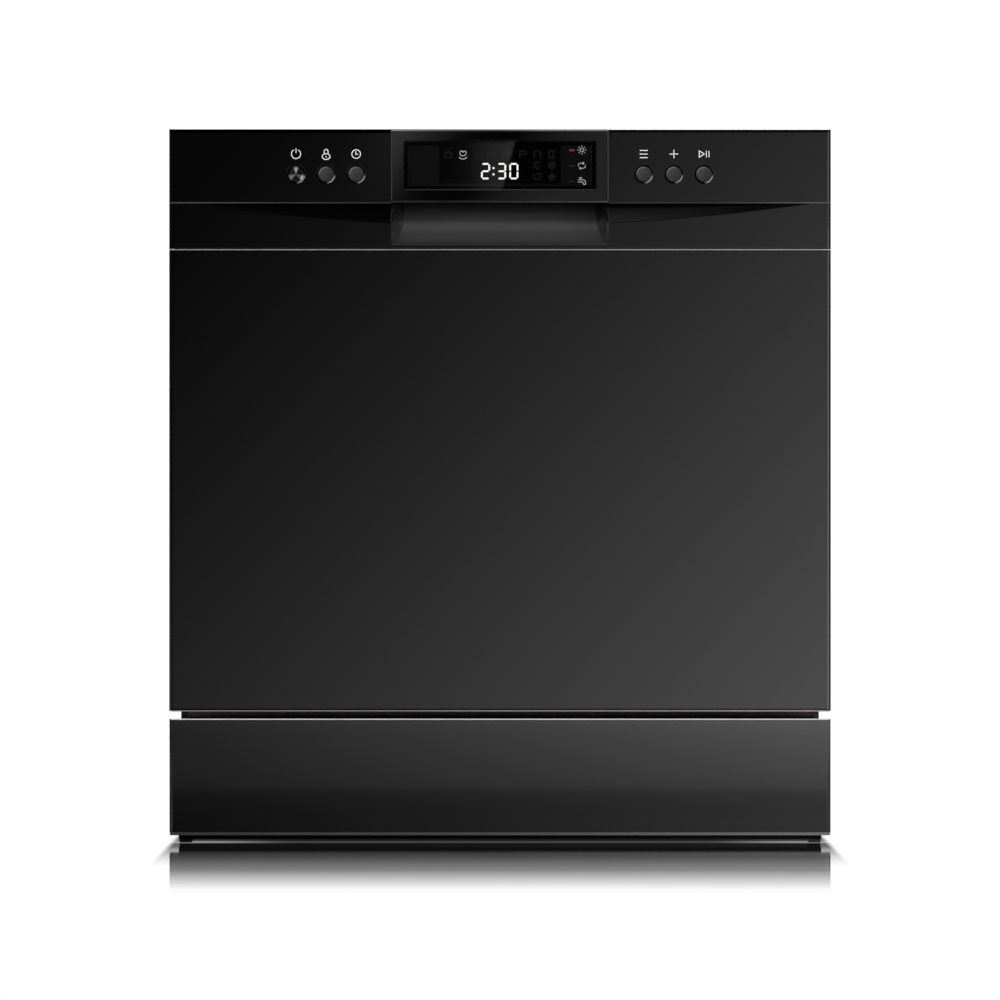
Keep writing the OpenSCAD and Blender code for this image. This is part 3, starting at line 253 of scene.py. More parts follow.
def makeCard(plan):
    bpy.ops.mesh.primitive_plane_add(size=1.0)
    card = bpy.context.object
    card.name = "gradientCard"
    card.scale = (2 * plan["half"], plan["top"], 1)
    card.rotation_euler = (math.radians(-90), 0, 0)
    card.location = (0, plan["y"], plan["top"] / 2)
    bpy.ops.object.transform_apply(location=True, rotation=True, scale=True)
    look = newLook("gradientLight")
    _, x, _, z = look.place()
    tone = plan["tone"] + plan["toneX"] * x - plan["toneZ"] * z
    wide = toneLight(look.line(tone, *plan["toneRange"], *plan["toneRange"]))
    lean = x - (plan["bandX"] + (z - plan["bandZ"]) * plan["bandSlope"])
    frameTone = look.stops(look.line(lean, -plan["bandHalf"], plan["bandHalf"]), plan["bandStops"]) * plan["bandTone"]
    edge = x - (plan["edgeX"] + (z - plan["edgeZ"]) * plan["edgeSlope"])
    glassLight = (look.fade(edge, -plan["edgeSoft"], plan["edgeSoft"])
                  * look.stops(look.line(x, *plan["glassX"]), plan["glassStops"]))
    patch = look.choose(softBox(look, x, z, plan["glassBox"]), toneLight(frameTone), glassLight)
    glow = look.light(look.choose(softBox(look, x, z, plan["displayBox"]), wide, patch))
    back = look.node("ShaderNodeNewGeometry", out="Backfacing")
    look.close(look.blend(back, glow, look.node("ShaderNodeBsdfTransparent")))
    card.data.materials.append(look.owner)
    card.visible_camera = False
    card.visible_diffuse = False
    card.visible_shadow = False
    card.visible_transmission = False


def makeWorld(plan):
    world = bpy.data.worlds.new("studioWorld")
    scene.world = world
    look = Look(world)
    where = look.node("ShaderNodeTexCoord", out="Generated")
    y = look.other(look.node("ShaderNodeSeparateXYZ", None, [where]), 1)
    seen = look.node("ShaderNodeLightPath", out="Is Camera Ray")
    strength = look.choose(seen, look.ramp(y, *plan["y"]), whiteLight)
    sky = look.node("ShaderNodeBackground", None, {"Color": (1, 1, 1, 1), "Strength": strength})
    output = look.tree.nodes.new("ShaderNodeOutputWorld")
    look.tree.links.new(sky.socket, output.inputs["Surface"])


lamps = {  # place, aim, size, power, whether it shows as a highlight
    "keyLamp": ((-1.5, -2.2, 2.3), (0, -0.2, 0.35), 1.0, 16.0, True),
    "frontLamp": ((-0.2, -3.2, 2.1), (0, -0.2, 0.5), 0.9, 60.0, False),
    "fillLamp": ((1.8, -1.8, 1.5), (0, -0.1, 0.3), 0.8, 10.0, False),
    "backLamp": ((0.6, 2.6, 2.2), (0, 0.2, 0.3), 1.4, 45.0, True),
}


def makeLamps(plan):
    for name, (place, aim, size, power, shines) in plan.items():
        turn = (Vector(aim) - Vector(place)).to_track_quat("-Z", "Y").to_euler()
        bpy.ops.object.light_add(type="AREA", location=place, rotation=turn)
        lamp = bpy.context.object
        lamp.name = name
        lamp.data.shape = "SQUARE"
        lamp.data.size = size
        lamp.data.energy = power
        lamp.visible_glossy = shines


makeFloor(floorPlan)
makeCard(cardPlan)
makeWorld(skyPlan)
makeLamps(lamps)
print("studio built")


# ---- finishes
# deep black lacquer over the front panels; edge is where a cut side begins, and there a painted shade takes over,
# dark at the left and painted lighter towards the right
glossPanel = {
    "rough": 0.13, "bezelRough": 0.022, "dustRough": 0.02, "dustScale": 9.0, "colour": 0.0004, "spread": 0.2,
    "peel": 0.000003, "peelScale": 260.0, "ior": 1.5,
    "half": 0.275, "edge": [0.2739, 0.2744], "edgeShadeTone": [0.0006, 0.042],
}
# kick panel: painted sheen, lighter towards its top and its right end, and painted shade over its lower part
kickPlan = {
    "z": [0.0, 0.105], "paintedSheenX": [0.5, 2.0],
    "paintedSheen": [(0.0, 0.0), (0.55, 0.0), (0.72, 0.004), (0.84, 0.010), (0.94, 0.020), (1.0, 0.026)],
    "shade": [(0.0, 0.1), (0.15, 0.12), (0.26, 0.3), (0.38, 0.34), (0.6, 0.14), (0.78, 0.0), (1.0, 0.0)],
}
# handle pocket: moulded satin black, its colour stops painted with light at mid height and shade towards the ledge;
# stops run from its lip at 0 to the ledge at 1
pocketPlan = {
    "half": 0.0908, "y": -0.2478, "z": [0.4985, 0.5485], "soft": 0.0004, "rough": 0.55, "upZ": [0.4993, 0.5334],
    "stops": [(0.0, 0.046), (0.06, 0.047), (0.185, 0.052), (0.306, 0.058), (0.36, 0.078), (0.428, 0.113),
              (0.5, 0.152), (0.549, 0.171), (0.6, 0.152), (0.647, 0.119), (0.745, 0.069), (0.843, 0.032),
              (0.916, 0.018), (1.0, 0.008)],
    # painted shade on its side walls: what faces sideways, and how much of the light they keep
    "wallFacing": [0.35, 0.8],
    "wallKeeps": [(0.0, 1.0), (0.25, 1.0), (0.45, 0.75), (0.6, 0.42), (0.8, 0.3), (1.0, 0.3)],
    "shadeZ": [0.522, 0.540], "wallX": [0.0795, 0.0885],
    "wallStops": [(0.0, 0.05), (0.185, 0.1), (0.306, 0.42), (0.428, 0.6), (0.55, 0.7), (0.65, 0.67), (0.745, 0.6),
                  (0.843, 0.5), (1.0, 0.3)],
    # painted shade at the walls' front edges: the right one stays open below, both are shaded above
    "frontX": [0.0886, 0.0892], "openBelow": [0.42, 0.55], "shadedAbove": [0.45, 0.6], "frontShade": 0.22,
}
# painted highlight along the pocket's lip
lipHighlightPlan = {"z": [0.4976, 0.4990], "soft": 0.0003, "x": [0.0895, 0.0905], "y": [-0.2478, -0.2470],
           "shade": 0.5, "colour": 0.045}
# scoop: painted shade, darkest under the ledge, open towards the right end, with painted light towards the right;
# reach is a share of its depth, left and right
scoopPlan = {
    "deep": 0.0098, "end": [0.0112, 0.0113], "z": [0.5115, 0.5125], "ledgeZ": [0.5332, 0.5334],
    "x": [0.0908, 0.0910], "middle": 0.01, "reach": [0.45, 0.04], "shade": 0.96, "lightReach": 1.02,
    "paintedLightX": [0.095, 0.21], "glow": [0.018, 0.0034], "paintedLightLeft": 0.002,
}
# painted shade on the top's front corner at the left
topPlan = {"z": [0.5903, 0.5911], "x": [0.06, 0.09], "y": [-0.2462, -0.2440]}
# each button's moat gets a painted highlight at its lower right
buttonX = {"power": -0.1695, "lock": -0.1445, "delay": -0.1195, "program": 0.1195, "extra": 0.1445, "start": 0.1695}
buttonZ = 0.5566
moatPlan = {"radius": [0.00665, 0.0079], "soft": 0.0002, "aim": (0.72, 0.69), "aimLevel": [0.62, 0.95],
            "faceY": -0.2485, "y": [-0.2484, -0.2482], "colour": 0.30}
tiny = 0.0001  # keeps a division away from zero


# a dull coat that carries painted light and shade over the glossy panels
def paintedLightShadeShader(look, colour):
    return look.principled({"Base Color": colour, "Roughness": 0.8, "Specular IOR Level": 0.0})


# where the pocket is, its colour with painted light and shade, and how much of it takes the painted shade
def pocketLook(look, at, plan):
    side, x, y, z = at
    half, soft = plan["half"], plan["soft"]
    inside = (look.fade(side, half - soft, half) * look.ramp(y, plan["y"] - soft, plan["y"])
              * look.band(z, plan["z"][0] + soft, plan["z"][1] - soft, soft))
    up = look.line(z, *plan["upZ"])
    facing = look.node("ShaderNodeTexCoord", out="Normal")
    wall = look.ramp(look.absolute(look.node("ShaderNodeSeparateXYZ", None, [facing])), *plan["wallFacing"])
    # painted shade on the side walls, on top of the painted light and shade of the colour stops
    wallPaintedShade = 1 - wall * (1 - look.stops(up, plan["wallKeeps"]))
    colour = look.stops(up, plan["stops"]) * wallPaintedShade
    rightFront = look.ramp(x, *plan["frontX"]) * look.fade(up, *plan["openBelow"])
    outer = look.ramp(side, *plan["frontX"]) * look.ramp(up, *plan["shadedAbove"]) * plan["frontShade"]
    wallShade = look.ramp(side, *plan["wallX"]) * look.stops(up, plan["wallStops"]) * (1 - rightFront) + outer
    return inside, colour, look.greater(look.ramp(z, *plan["shadeZ"]), wallShade) * inside


# where the painted highlight along the pocket's lip runs
def lipHighlightLook(look, at, plan):
    side, x, y, z = at
    return look.band(z, *plan["z"], plan["soft"]) * look.fade(side, *plan["x"]) * look.fade(y, *plan["y"])


# where the scoop takes painted shade, and the painted light it gives back at the right
def scoopLook(look, at, plan, faceY):
    side, x, y, z = at
    deep = y - faceY
    reach = look.ramp(x, 0.0, plan["middle"], *plan["reach"]) * plan["deep"]
    scoop = (look.line(deep / reach, 0.0, 1.0) * look.ramp(side, *plan["x"]) * look.fade(z, *plan["ledgeZ"])
             * look.ramp(z, *plan["z"]) * look.fade(deep, *plan["end"]))
    glow = (look.ramp(x, 0.0, plan["middle"]) * look.line(x, *plan["paintedLightX"], *plan["glow"])
            + look.ramp(x, -plan["middle"], 0.0, plan["paintedLightLeft"], 0.0))
    return scoop, scoop * glow * look.line(deep, 0.0, plan["deep"] * plan["lightReach"], 1.0, 0.0)


# painted highlight crescent at the lower right of each button's moat
def moatHighlightLook(look, at, plan):
    side, x, y, z = at
    moatHighlight = 0.0
    for centreX in buttonX.values():
        dx, dz = x - centreX, z - buttonZ
        radius = look.radius(dx, dz)
        aim = (dx * plan["aim"][0] - dz * plan["aim"][1]) / (radius + tiny)
        moatHighlight = look.band(radius, *plan["radius"], plan["soft"]) * look.ramp(aim, *plan["aimLevel"]) + moatHighlight
    return moatHighlight * look.ramp(y, *plan["y"])


# panel is door, bezel, kick or fascia
def glossFinish(name, panel):
    plan = glossPanel
    look = newLook(name)
    where, x, y, z = look.place()
    side = look.absolute(x)
    at = (side, x, y, z)
    dust = look.noise(where, plan["dustScale"], 2.0)
    peel = look.noise(where, plan["peelScale"], 2.0)
    colour = look.mix(dust, grey(plan["colour"] * (1 - plan["spread"])), grey(plan["colour"] * (1 + plan["spread"])))
    roughness = plan["bezelRough" if panel == "bezel" else "rough"] + (dust - 0.5) * plan["dustRough"]
    # painted shade on the cut side edges, dark at the left and lighter towards the right
    edgeShadeLevel = look.line(x, -plan["half"], plan["half"], *plan["edgeShadeTone"])
    edges = look.ramp(side, *plan["edge"])
    shade = edges
    paintedLightShadeColour = edgeShadeLevel
    if panel == "kick":
        up = look.line(z, *kickPlan["z"])
        # painted sheen, lighter towards the top and the right
        paintedSheen = look.stops(up, kickPlan["paintedSheen"]) * look.line(x, -plan["half"], plan["half"], *kickPlan["paintedSheenX"])
        colour = look.mix(0.5, colour, paintedSheen * 2.0)
        # painted shade over the lower part, as on the edges
        shade = look.greater(edges, look.stops(up, kickPlan["shade"]))
        paintedLightShadeColour = edgeShadeLevel * edges
    if panel == "fascia":
        inside, pocket, pocketShade = pocketLook(look, at, pocketPlan)
        colour = look.mix(inside, colour, pocket)
        roughness = roughness * (1 - inside) + pocketPlan["rough"] * inside
        lip = lipHighlightLook(look, at, lipHighlightPlan)
        scoop, scoopPaintedLight = scoopLook(look, at, scoopPlan, moatPlan["faceY"])
        top = look.ramp(z, *topPlan["z"]) * look.fade(x, *topPlan["x"]) * look.fade(y, *topPlan["y"])
        moatHighlight = moatHighlightLook(look, at, moatPlan)
        for part in (pocketShade, lip * lipHighlightPlan["shade"], scoop * scoopPlan["shade"], top, moatHighlight):
            shade = look.greater(shade, part)
        paintedLightShadeColour = (edgeShadeLevel * edges + moatHighlight * moatPlan["colour"] + lip * lipHighlightPlan["colour"]
                      + scoopPaintedLight * (1 - edges))
    gloss = look.principled({
        "Base Color": colour, "Roughness": roughness, "IOR": plan["ior"], "Normal": look.bump(peel, plan["peel"])})
    return look.close(look.blend(shade, gloss, paintedLightShadeShader(look, paintedLightShadeColour)))


# mouldings share one grain and one cloud
mouldPlan = {"grainScale": 1400.0, "cloudScale": 14.0, "roughSpread": 0.12, "dark": 0.9, "light": 1.08}
trayPlan = {
    "colour": 0.004, "spread": 0.1, "rough": 0.55, "specular": 0.06, "grain": 0.00003,
    # painted light: the slot between door and kick panel shows a paler tone
    "slotPaintedLight": (0.30, 0.21, 0.24, 1), "slotZ": [0.1043, 0.1098], "slotSoft": 0.0006, "slotY": [-0.2, -0.198],
}


def trayFinish(plan):
    look = newLook("trayMoulding")
    where, _, y, z = look.place()
    grain = look.noise(where, mouldPlan["grainScale"], 2.0)
    cloud = look.noise(where, mouldPlan["cloudScale"], 4.0)
    plain = look.mix(cloud, grey(plan["colour"] * (1 - plan["spread"])), grey(plan["colour"] * (1 + plan["spread"])))
    slot = look.band(z, *plan["slotZ"], plan["slotSoft"]) * look.ramp(y, *plan["slotY"])
    return look.surface({
        "Base Color": look.mix(slot, plain, plan["slotPaintedLight"]), "Specular IOR Level": plan["specular"],
        "Roughness": plan["rough"] + (cloud - 0.5) * mouldPlan["roughSpread"],
        "Normal": look.bump(grain, plan["grain"])})


enamel = {"colour": 0.018, "spread": 0.15, "rough": 0.42, "roughSpread": 0.12, "cloudScale": 6.0,
          "grainScale": 900.0, "grain": 0.00002}


def enamelFinish(plan):
    look = newLook("blackEnamel")
    where = look.place()[0]
    grain = look.noise(where, plan["grainScale"], 2.0)
    cloud = look.noise(where, plan["cloudScale"])
    dark, light = plan["colour"] * (1 - plan["spread"]), plan["colour"] * (1 + plan["spread"])
    return look.surface({
        "Base Color": look.mix(cloud, grey(dark), grey(light)),
        "Roughness": plan["rough"] + (grain - 0.5) * plan["roughSpread"],
        "Normal": look.bump(grain, plan["grain"])})


# moulded plastics: colour, roughness, grain height
plastics = {
    "blackMoulding": ((0.012, 0.012, 0.0125), 0.5, 0.00003),
    "greyMoulding": ((0.30, 0.32, 0.35), 0.42, 0.00002),
    "whiteMoulding": ((0.72, 0.73, 0.72), 0.38, 0.000015),
    "tankMoulding": ((0.62, 0.64, 0.62), 0.5, 0.00003),
}


def mouldedFinish(name, colour, rough, height):
    look = newLook(name)
    where = look.place()[0]
    grain = look.noise(where, mouldPlan["grainScale"], 2.0)
    cloud = look.noise(where, mouldPlan["cloudScale"], 4.0)
    return look.surface({
        "Base Color": look.mix(cloud, tinted(colour, mouldPlan["dark"]), tinted(colour, mouldPlan["light"])),
        "Roughness": rough + (cloud - 0.5) * mouldPlan["roughSpread"],
        "Normal": look.bump(grain, height)})


# sheet and turned metals: colour, roughness, brush direction as a stretch
metals = {
    "brushedAcross": ((0.60, 0.60, 0.61), 0.3, (12.0, 900.0, 900.0)),
    "brushedDeep": ((0.60, 0.60, 0.61), 0.3, (900.0, 12.0, 900.0)),
    "perforatedSteel": ((0.55, 0.55, 0.56), 0.32, (500.0, 20.0, 500.0)),
    "zincPlate": ((0.52, 0.53, 0.55), 0.38, (60.0, 60.0, 60.0)),
    "castHousing": ((0.42, 0.42, 0.43), 0.5, (160.0, 160.0, 160.0)),
}
metalPlan = {"cloudScale": 7.0, "hairShare": 0.6, "dark": 0.86, "light": 1.1, "hairRough": 0.16, "cloudRough": 0.08,
             "hairHeight": 0.000005}


def metalFinish(name, colour, rough, stretch):
    plan = metalPlan
    look = newLook(name)
    where = look.place()[0]
    hair = look.noise(look.stretched(where, stretch), 1.0, 4.0)
    cloud = look.noise(where, plan["cloudScale"])
    worn = hair * plan["hairShare"] + cloud * (1 - plan["hairShare"])
    return look.surface({
        "Base Color": look.mix(worn, tinted(colour, plan["dark"]), tinted(colour, plan["light"])),
        "Metallic": 1.0,
        "Roughness": rough + (hair - 0.5) * plan["hairRough"] + (cloud - 0.5) * plan["cloudRough"],
        "Normal": look.bump(hair, plan["hairHeight"])})


rubber = {"bloomScale": 40.0, "grainScale": 1100.0, "dark": 0.014, "light": 0.024, "rough": 0.66, "roughSpread": 0.2,
          "grain": 0.00004}


def rubberFinish(plan):
    look = newLook("sealRubber")
    where = look.place()[0]
    bloom = look.noise(where, plan["bloomScale"], 4.0)
    grain = look.noise(where, plan["grainScale"], 2.0)
    return look.surface({
        "Base Color": look.mix(bloom, grey(plan["dark"]), grey(plan["light"])),
        "Roughness": plan["rough"] + (bloom - 0.5) * plan["roughSpread"],
        "Normal": look.bump(grain, plan["grain"])})


wireCoat = {"dipScale": 120.0, "cloudScale": 10.0, "dark": (0.23, 0.25, 0.28, 1), "light": (0.30, 0.32, 0.35, 1),
            "rough": 0.33, "roughSpread": 0.16, "dip": 0.00006}


def wireFinish(plan):
    look = newLook("coatedWire")
    where = look.place()[0]
    dips = look.noise(where, plan["dipScale"])
    cloud = look.noise(where, plan["cloudScale"], 2.0)
    return look.surface({
        "Base Color": look.mix(cloud, plan["dark"], plan["light"]),
        "Roughness": plan["rough"] + (dips - 0.5) * plan["roughSpread"],
        "Normal": look.bump(dips, plan["dip"])})


glass = {"smearScale": 30.0, "colour": 0.001, "rough": 0.012, "ior": 1.5, "alpha": 0.5}


def glassFinish(plan):
    look = newLook("smokedGlass")
    smear = look.noise(look.place()[0], plan["smearScale"])
    return look.surface({
        "Base Color": grey(plan["colour"]), "Roughness": plan["rough"] + smear * plan["rough"], "IOR": plan["ior"],
        "Alpha": plan["alpha"]})


# the board is green behind; the display's cell in front is near black on a grey plate
boardPlan = {
    "behindY": [-0.2394, -0.239], "cellY": [-0.247, -0.2468], "weaveScale": 60.0, "plate": [0.052, 0.062],
    "cell": [(0.0020, 0.0012, 0.0013, 1), (0.0026, 0.0016, 0.0017, 1)],
    "tracks": {"Scale": 220.0, "Mortar Size": 0.03, "Color1": (0.006, 0.05, 0.02, 1),
               "Color2": (0.008, 0.07, 0.028, 1), "Mortar": (0.03, 0.14, 0.06, 1)},
    "rough": 0.5, "roughSpread": 0.2, "specular": 0.1,
}


def boardFinish(plan):
    look = newLook("controlBoardGreen")
    where, _, y, _ = look.place()
    tracks = look.node("ShaderNodeTexBrick", None, {"Vector": where, **plan["tracks"]})
    behind = look.ramp(y, *plan["behindY"])
    inCell = look.fade(y, *plan["cellY"])
    weave = look.noise(where, plan["weaveScale"], 2.0)
    plate = look.mix(weave, *map(grey, plan["plate"]))
    cell = look.mix(weave, *plan["cell"])
    return look.surface({
        "Base Color": look.mix(behind, look.mix(inCell, plate, cell), tracks),
        "Roughness": plan["rough"] + (weave - 0.5) * plan["roughSpread"], "Specular IOR Level": plan["specular"]})


spunGlintPlan = {"pitch": 42000.0, "wedges": 3.0, "wedgeLevel": [0.1, 0.95], "lower": 0.6, "upperZ": [0.0, 0.002],
        "dark": 0.035, "light": 0.85, "rough": 0.36, "ringRough": 0.04, "ringHeight": 0.000004}


# a turned face with painted highlights in three wedges, lighter in its upper half
def spunFinish(plan):
    look = newLook("spunMetalPaintedGlint")
    _, x, _, z = look.place()
    dx, dz = x - buttonX["power"], z - buttonZ
    rings = look.maths("SINE", look.radius(dx, dz) * plan["pitch"])
    wedge = look.maths("COSINE", look.maths("ARCTAN2", dx, dz) * plan["wedges"])
    upper = look.ramp(dz, *plan["upperZ"])
    paintedGlint = look.ramp(wedge, *plan["wedgeLevel"]) * (plan["lower"] + upper * (1 - plan["lower"]))
    return look.surface({
        "Base Color": look.mix(paintedGlint, grey(plan["dark"]), grey(plan["light"])),
        "Metallic": 1.0, "Roughness": plan["rough"] + (rings * plan["ringRough"]),
        "Normal": look.bump(rings, plan["ringHeight"])})


capPlan = {
    "rim": [0.0052, 0.0060], "rimSoft": 0.0004, "rimHighlightColour": 0.12, "aim": (0.77, 0.64), "aimLevel": [0.35, 0.95],
    "across": [-0.008, 0.008, 0.022, 0.05], "specular": 0.12, "rough": 0.5, "roughSpread": 0.1, "grain": 0.00001,
}


# black cap with a painted highlight along its upper left rim, and painted shade darker towards the lower right
def capFinish(name, centreX, plan):
    look = newLook(name)
    where, x, _, z = look.place()
    dx, dz = x - centreX, z - buttonZ
    radius = look.radius(dx, dz)
    grain = look.noise(where, mouldPlan["grainScale"], 2.0)
    aim = (dz * plan["aim"][0] - dx * plan["aim"][1]) / (radius + tiny)
    rim = look.band(radius, *plan["rim"], plan["rimSoft"]) * look.ramp(aim, *plan["aimLevel"])
    # painted shade: lighter to the upper left, darker to the lower right
    across = look.line(dz - dx, *plan["across"])
    return look.surface({
        "Base Color": look.mix(rim, across, grey(plan["rimHighlightColour"])), "Specular IOR Level": plan["specular"],
        "Roughness": plan["rough"] + (grain - 0.5) * plan["roughSpread"], "Normal": look.bump(grain, plan["grain"])})


# lit segments, signs and lamps: colour, strength; the unlit segments and the off lamps carry a faint painted glow
glows = {
    "segmentWhite": ((1.0, 1.0, 1.0), 4.2),
    "signWhite": ((1.0, 1.0, 1.0), 2.3),
    "segmentFaint": ((0.062, 0.058, 0.058), 1.0),
    "lampRed": ((1.0, 0.05, 0.055), 1.35),
    "lampOff": ((0.10, 0.10, 0.10), 1.0),
}
flickerPlan = {"scale": 500.0, "dark": 0.94}


def glowFinish(name, colour, strength):
    look = newLook(name)
    flicker = look.noise(look.place()[0], flickerPlan["scale"], 1.0)
    return look.surface({
        "Base Color": grey(0.0), "Roughness": 0.5,
        "Emission Color": look.mix(flicker, tinted(colour, flickerPlan["dark"]), tinted(colour, 1.0)),
        "Emission Strength": strength})


# white print with a faint painted glow
printPlan = {"speckScale": 900.0, "colour": [0.62, 0.74], "glow": [0.3, 0.36], "strength": 0.4}


def printFinish(plan):
    look = newLook("printedWhitePaintedGlow")
    speck = look.noise(look.place()[0], plan["speckScale"], 2.0)
    return look.surface({
        "Base Color": look.mix(speck, *map(grey, plan["colour"])), "Roughness": 0.5,
        "Emission Color": look.mix(speck, *map(grey, plan["glow"])), "Emission Strength": plan["strength"]})


# strips that stand in for edge highlights, painted lighter or darker from left to right, and the window mask: half
# width, levels at even steps from the left end to the right end
doorHalf, displayHalf = 0.275, 0.091
stripLevels = {
    "seamTrim": (doorHalf, (0.32, 0.34, 0.42)),
    "footTrim": (doorHalf, (0.26, 0.30, 0.35)),
    "kickTrim": (doorHalf, (0.9, 0.84, 0.8)),
    "lipTrim": (doorHalf, (0.055, 0.085, 0.17)),
    "ledgeTrim": (doorHalf, (0.060, 0.034, 0.028, 0.03, 0.028, 0.031, 0.09)),
    "sideTrim": (displayHalf, (0.042, 0.036, 0.048, 0.032, 0.046)),
    "displayTrim": (displayHalf, (0.032, 0.014, 0.032, 0.047, 0.077)),
    "bezelTrim": (displayHalf, (0.22, 0.10, 0.066, 0.165, 0.15)),
    "windowMask": (doorHalf, (0.085, 0.085, 0.085)),
}
stripPlan = {"stretch": (20.0, 900.0, 900.0), "least": 0.92, "hair": 0.16, "specular": 0.1, "rough": 0.45,
            "roughSpread": 0.1}


def stripFinish(name, half, levels):
    plan = stripPlan
    look = newLook(name)
    where, x, _, _ = look.place()
    hair = look.noise(look.stretched(where, plan["stretch"]), 1.0)
    pairs = [(k / (len(levels) - 1), level) for k, level in enumerate(levels)]
    level = look.stops(look.line(x, -half, half), pairs)
    return look.surface({
        "Base Color": level * (plan["least"] + hair * plan["hair"]), "Specular IOR Level": plan["specular"],
        "Roughness": plan["rough"] + (hair - 0.5) * plan["roughSpread"]})


finishes = {
    "panelGloss": glossFinish("panelGloss", "door"),
    "fasciaGloss": glossFinish("fasciaGloss", "fascia"),
    "kickGloss": glossFinish("kickGloss", "kick"),
    "bezelGloss": glossFinish("bezelGloss", "bezel"),
    "trayMoulding": trayFinish(trayPlan),
    "blackEnamel": enamelFinish(enamel),
    "sealRubber": rubberFinish(rubber),
    "coatedWire": wireFinish(wireCoat),
    "smokedGlass": glassFinish(glass),
    "controlBoardGreen": boardFinish(boardPlan),
    "spunMetalPaintedGlint": spunFinish(spunGlintPlan),
    "printedWhitePaintedGlow": printFinish(printPlan),
}
for table, make in ((plastics, mouldedFinish), (metals, metalFinish), (glows, glowFinish), (stripLevels, stripFinish)):
    for name, values in table.items():
        finishes[name] = make(name, *values)
caps = ["lock", "delay", "program", "extra", "start"]
for cap in caps:
    finishes[cap + "Cap"] = capFinish(cap + "Cap", buttonX[cap], capPlan)

nodeFinish = {
    "panelGloss": ["door_panel"],
    "kickGloss": ["kick_panel"],
    "trayMoulding": ["base_tray"],
    "fasciaGloss": ["control_fascia"],
    "bezelGloss": ["display_frame"],
    "blackEnamel": ["side_panel_left", "side_panel_right", "top_cover", "rear_panel"],
    "blackMoulding": ["drain_pump", "drain_outlet", "cable_gland", "latch_housing"],
    "brushedDeep": ["tub_wrap"],
    "brushedAcross": ["tub_back", "inner_door_panel"],
    "perforatedSteel": ["filter_plate"],
    "zincPlate": ["hinge_brackets", "door_springs", "striker", "panel_screws", "hinge_arm_left",
                  "hinge_arm_right"],
    "castHousing": ["wash_pump"],
    "greyMoulding": ["tub_floor", "sump", "feed_tube", "rail_brackets", "dispenser_body", "filter_cup",
                     "lower_spray_arm", "upper_spray_arm", "arm_duct", "cutlery_basket",
                     "lower_wheels_front", "lower_wheels_rear"],
    "whiteMoulding": ["dispenser_lid", "rinse_cap", "latch_hook", "salt_cap", "float",
                      "upper_rollers_front", "upper_rollers_rear", "inlet_valve"],
    "tankMoulding": ["softener_tank"],
    "sealRubber": ["feet", "tub_gasket", "door_seal"],
    "coatedWire": ["lower_rack", "upper_rack", "cup_shelf"],
    "smokedGlass": ["display_window"],
    "controlBoardGreen": ["control_board"],
    "spunMetalPaintedGlint": ["power_button"],
}
for cap in caps:
    nodeFinish[cap + "Cap"] = [cap + "_button"]
dressed = set()
for finish, names in nodeFinish.items():
    for name in names:
        dressed.add(name)
        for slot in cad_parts[name].material_slots:
            slot.material = finishes[finish]
print("nodes without a finish:", sorted(set(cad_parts) - dressed))


# ---- modelling helpers
def deselectAll():
    if bpy.context.object and bpy.context.object.mode != "OBJECT":
        bpy.ops.object.mode_set(mode="OBJECT")
    bpy.ops.object.select_all(action="DESELECT")


# a chain of edges in the XZ plane: a point is drawn out from stop to stop. Ends in edit mode, all selected
def drawPath(points, y, size):
    deselectAll()
    first = points[0]
    bpy.ops.mesh.primitive_plane_add(size=size, location=(first[0], y, first[1]))
    bpy.ops.object.transform_apply(location=True, rotation=False, scale=False)
    bpy.ops.object.mode_set(mode="EDIT")
    bpy.ops.mesh.select_all(action="SELECT")
    bpy.ops.mesh.merge(type="CENTER")
    for before, after in zip(points, points[1:]):
        step = (after[0] - before[0], 0, after[1] - before[1])
        bpy.ops.mesh.extrude_vertices_move(TRANSFORM_OT_translate={"value": step})
    bpy.ops.mesh.select_all(action="SELECT")


# a drawn line, raised and given its width
def drawStroke(points, y, depth, width):
    drawPath(points, y, width)
    bpy.ops.mesh.remove_doubles(threshold=width * 0.02)
    bpy.ops.mesh.extrude_edges_move(TRANSFORM_OT_translate={"value": (0, depth, 0)})
    bpy.ops.object.mode_set(mode="OBJECT")
    piece = bpy.context.object
    thick = piece.modifiers.new("width", "SOLIDIFY")
    thick.thickness = width
    thick.offset = 0
    thick.use_even_offset = True
    bpy.ops.object.modifier_apply(modifier=thick.name)
    return piece


# a filled outline
def drawFilled(points, y, depth):
    drawPath(points, y, 0.001)
    bpy.ops.mesh.edge_face_add()
    bpy.ops.mesh.extrude_region_move(TRANSFORM_OT_translate={"value": (0, depth, 0)})
    bpy.ops.mesh.select_all(action="SELECT")
    bpy.ops.mesh.normals_make_consistent(inside=False)
    bpy.ops.object.mode_set(mode="OBJECT")
    return bpy.context.object


def joinPieces(pieces, name):
    deselectAll()
    for piece in pieces:
        piece.select_set(True)
    bpy.context.view_layer.objects.active = pieces[0]
    if len(pieces) > 1:
        bpy.ops.object.join()
    piece = bpy.context.object
    piece.name = name
    bpy.ops.object.mode_set(mode="EDIT")
    bpy.ops.mesh.select_all(action="SELECT")
    bpy.ops.mesh.normals_make_consistent(inside=False)
    bpy.ops.object.mode_set(mode="OBJECT")
    bpy.ops.object.transform_apply(location=True, rotation=True, scale=True)
    return piece


def finishPiece(piece, finish, body, slot):
    piece.data.materials.clear()
    piece.data.materials.append(finishes[finish])
    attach(piece, body)


def arc(centre, radius, start, end, steps=20, squash=1.0):  # degrees from +X towards +Z
    turns = [math.radians(start + (end - start) * k / steps) for k in range(steps + 1)]
    return [(centre[0] + radius * math.cos(a), centre[1] + radius * squash * math.sin(a)) for a in turns]


def shifted(points, place):  # from mm round a place to metres
    return [(place[0] + p[0] * 0.001, place[1] + p[1] * 0.001) for p in points]


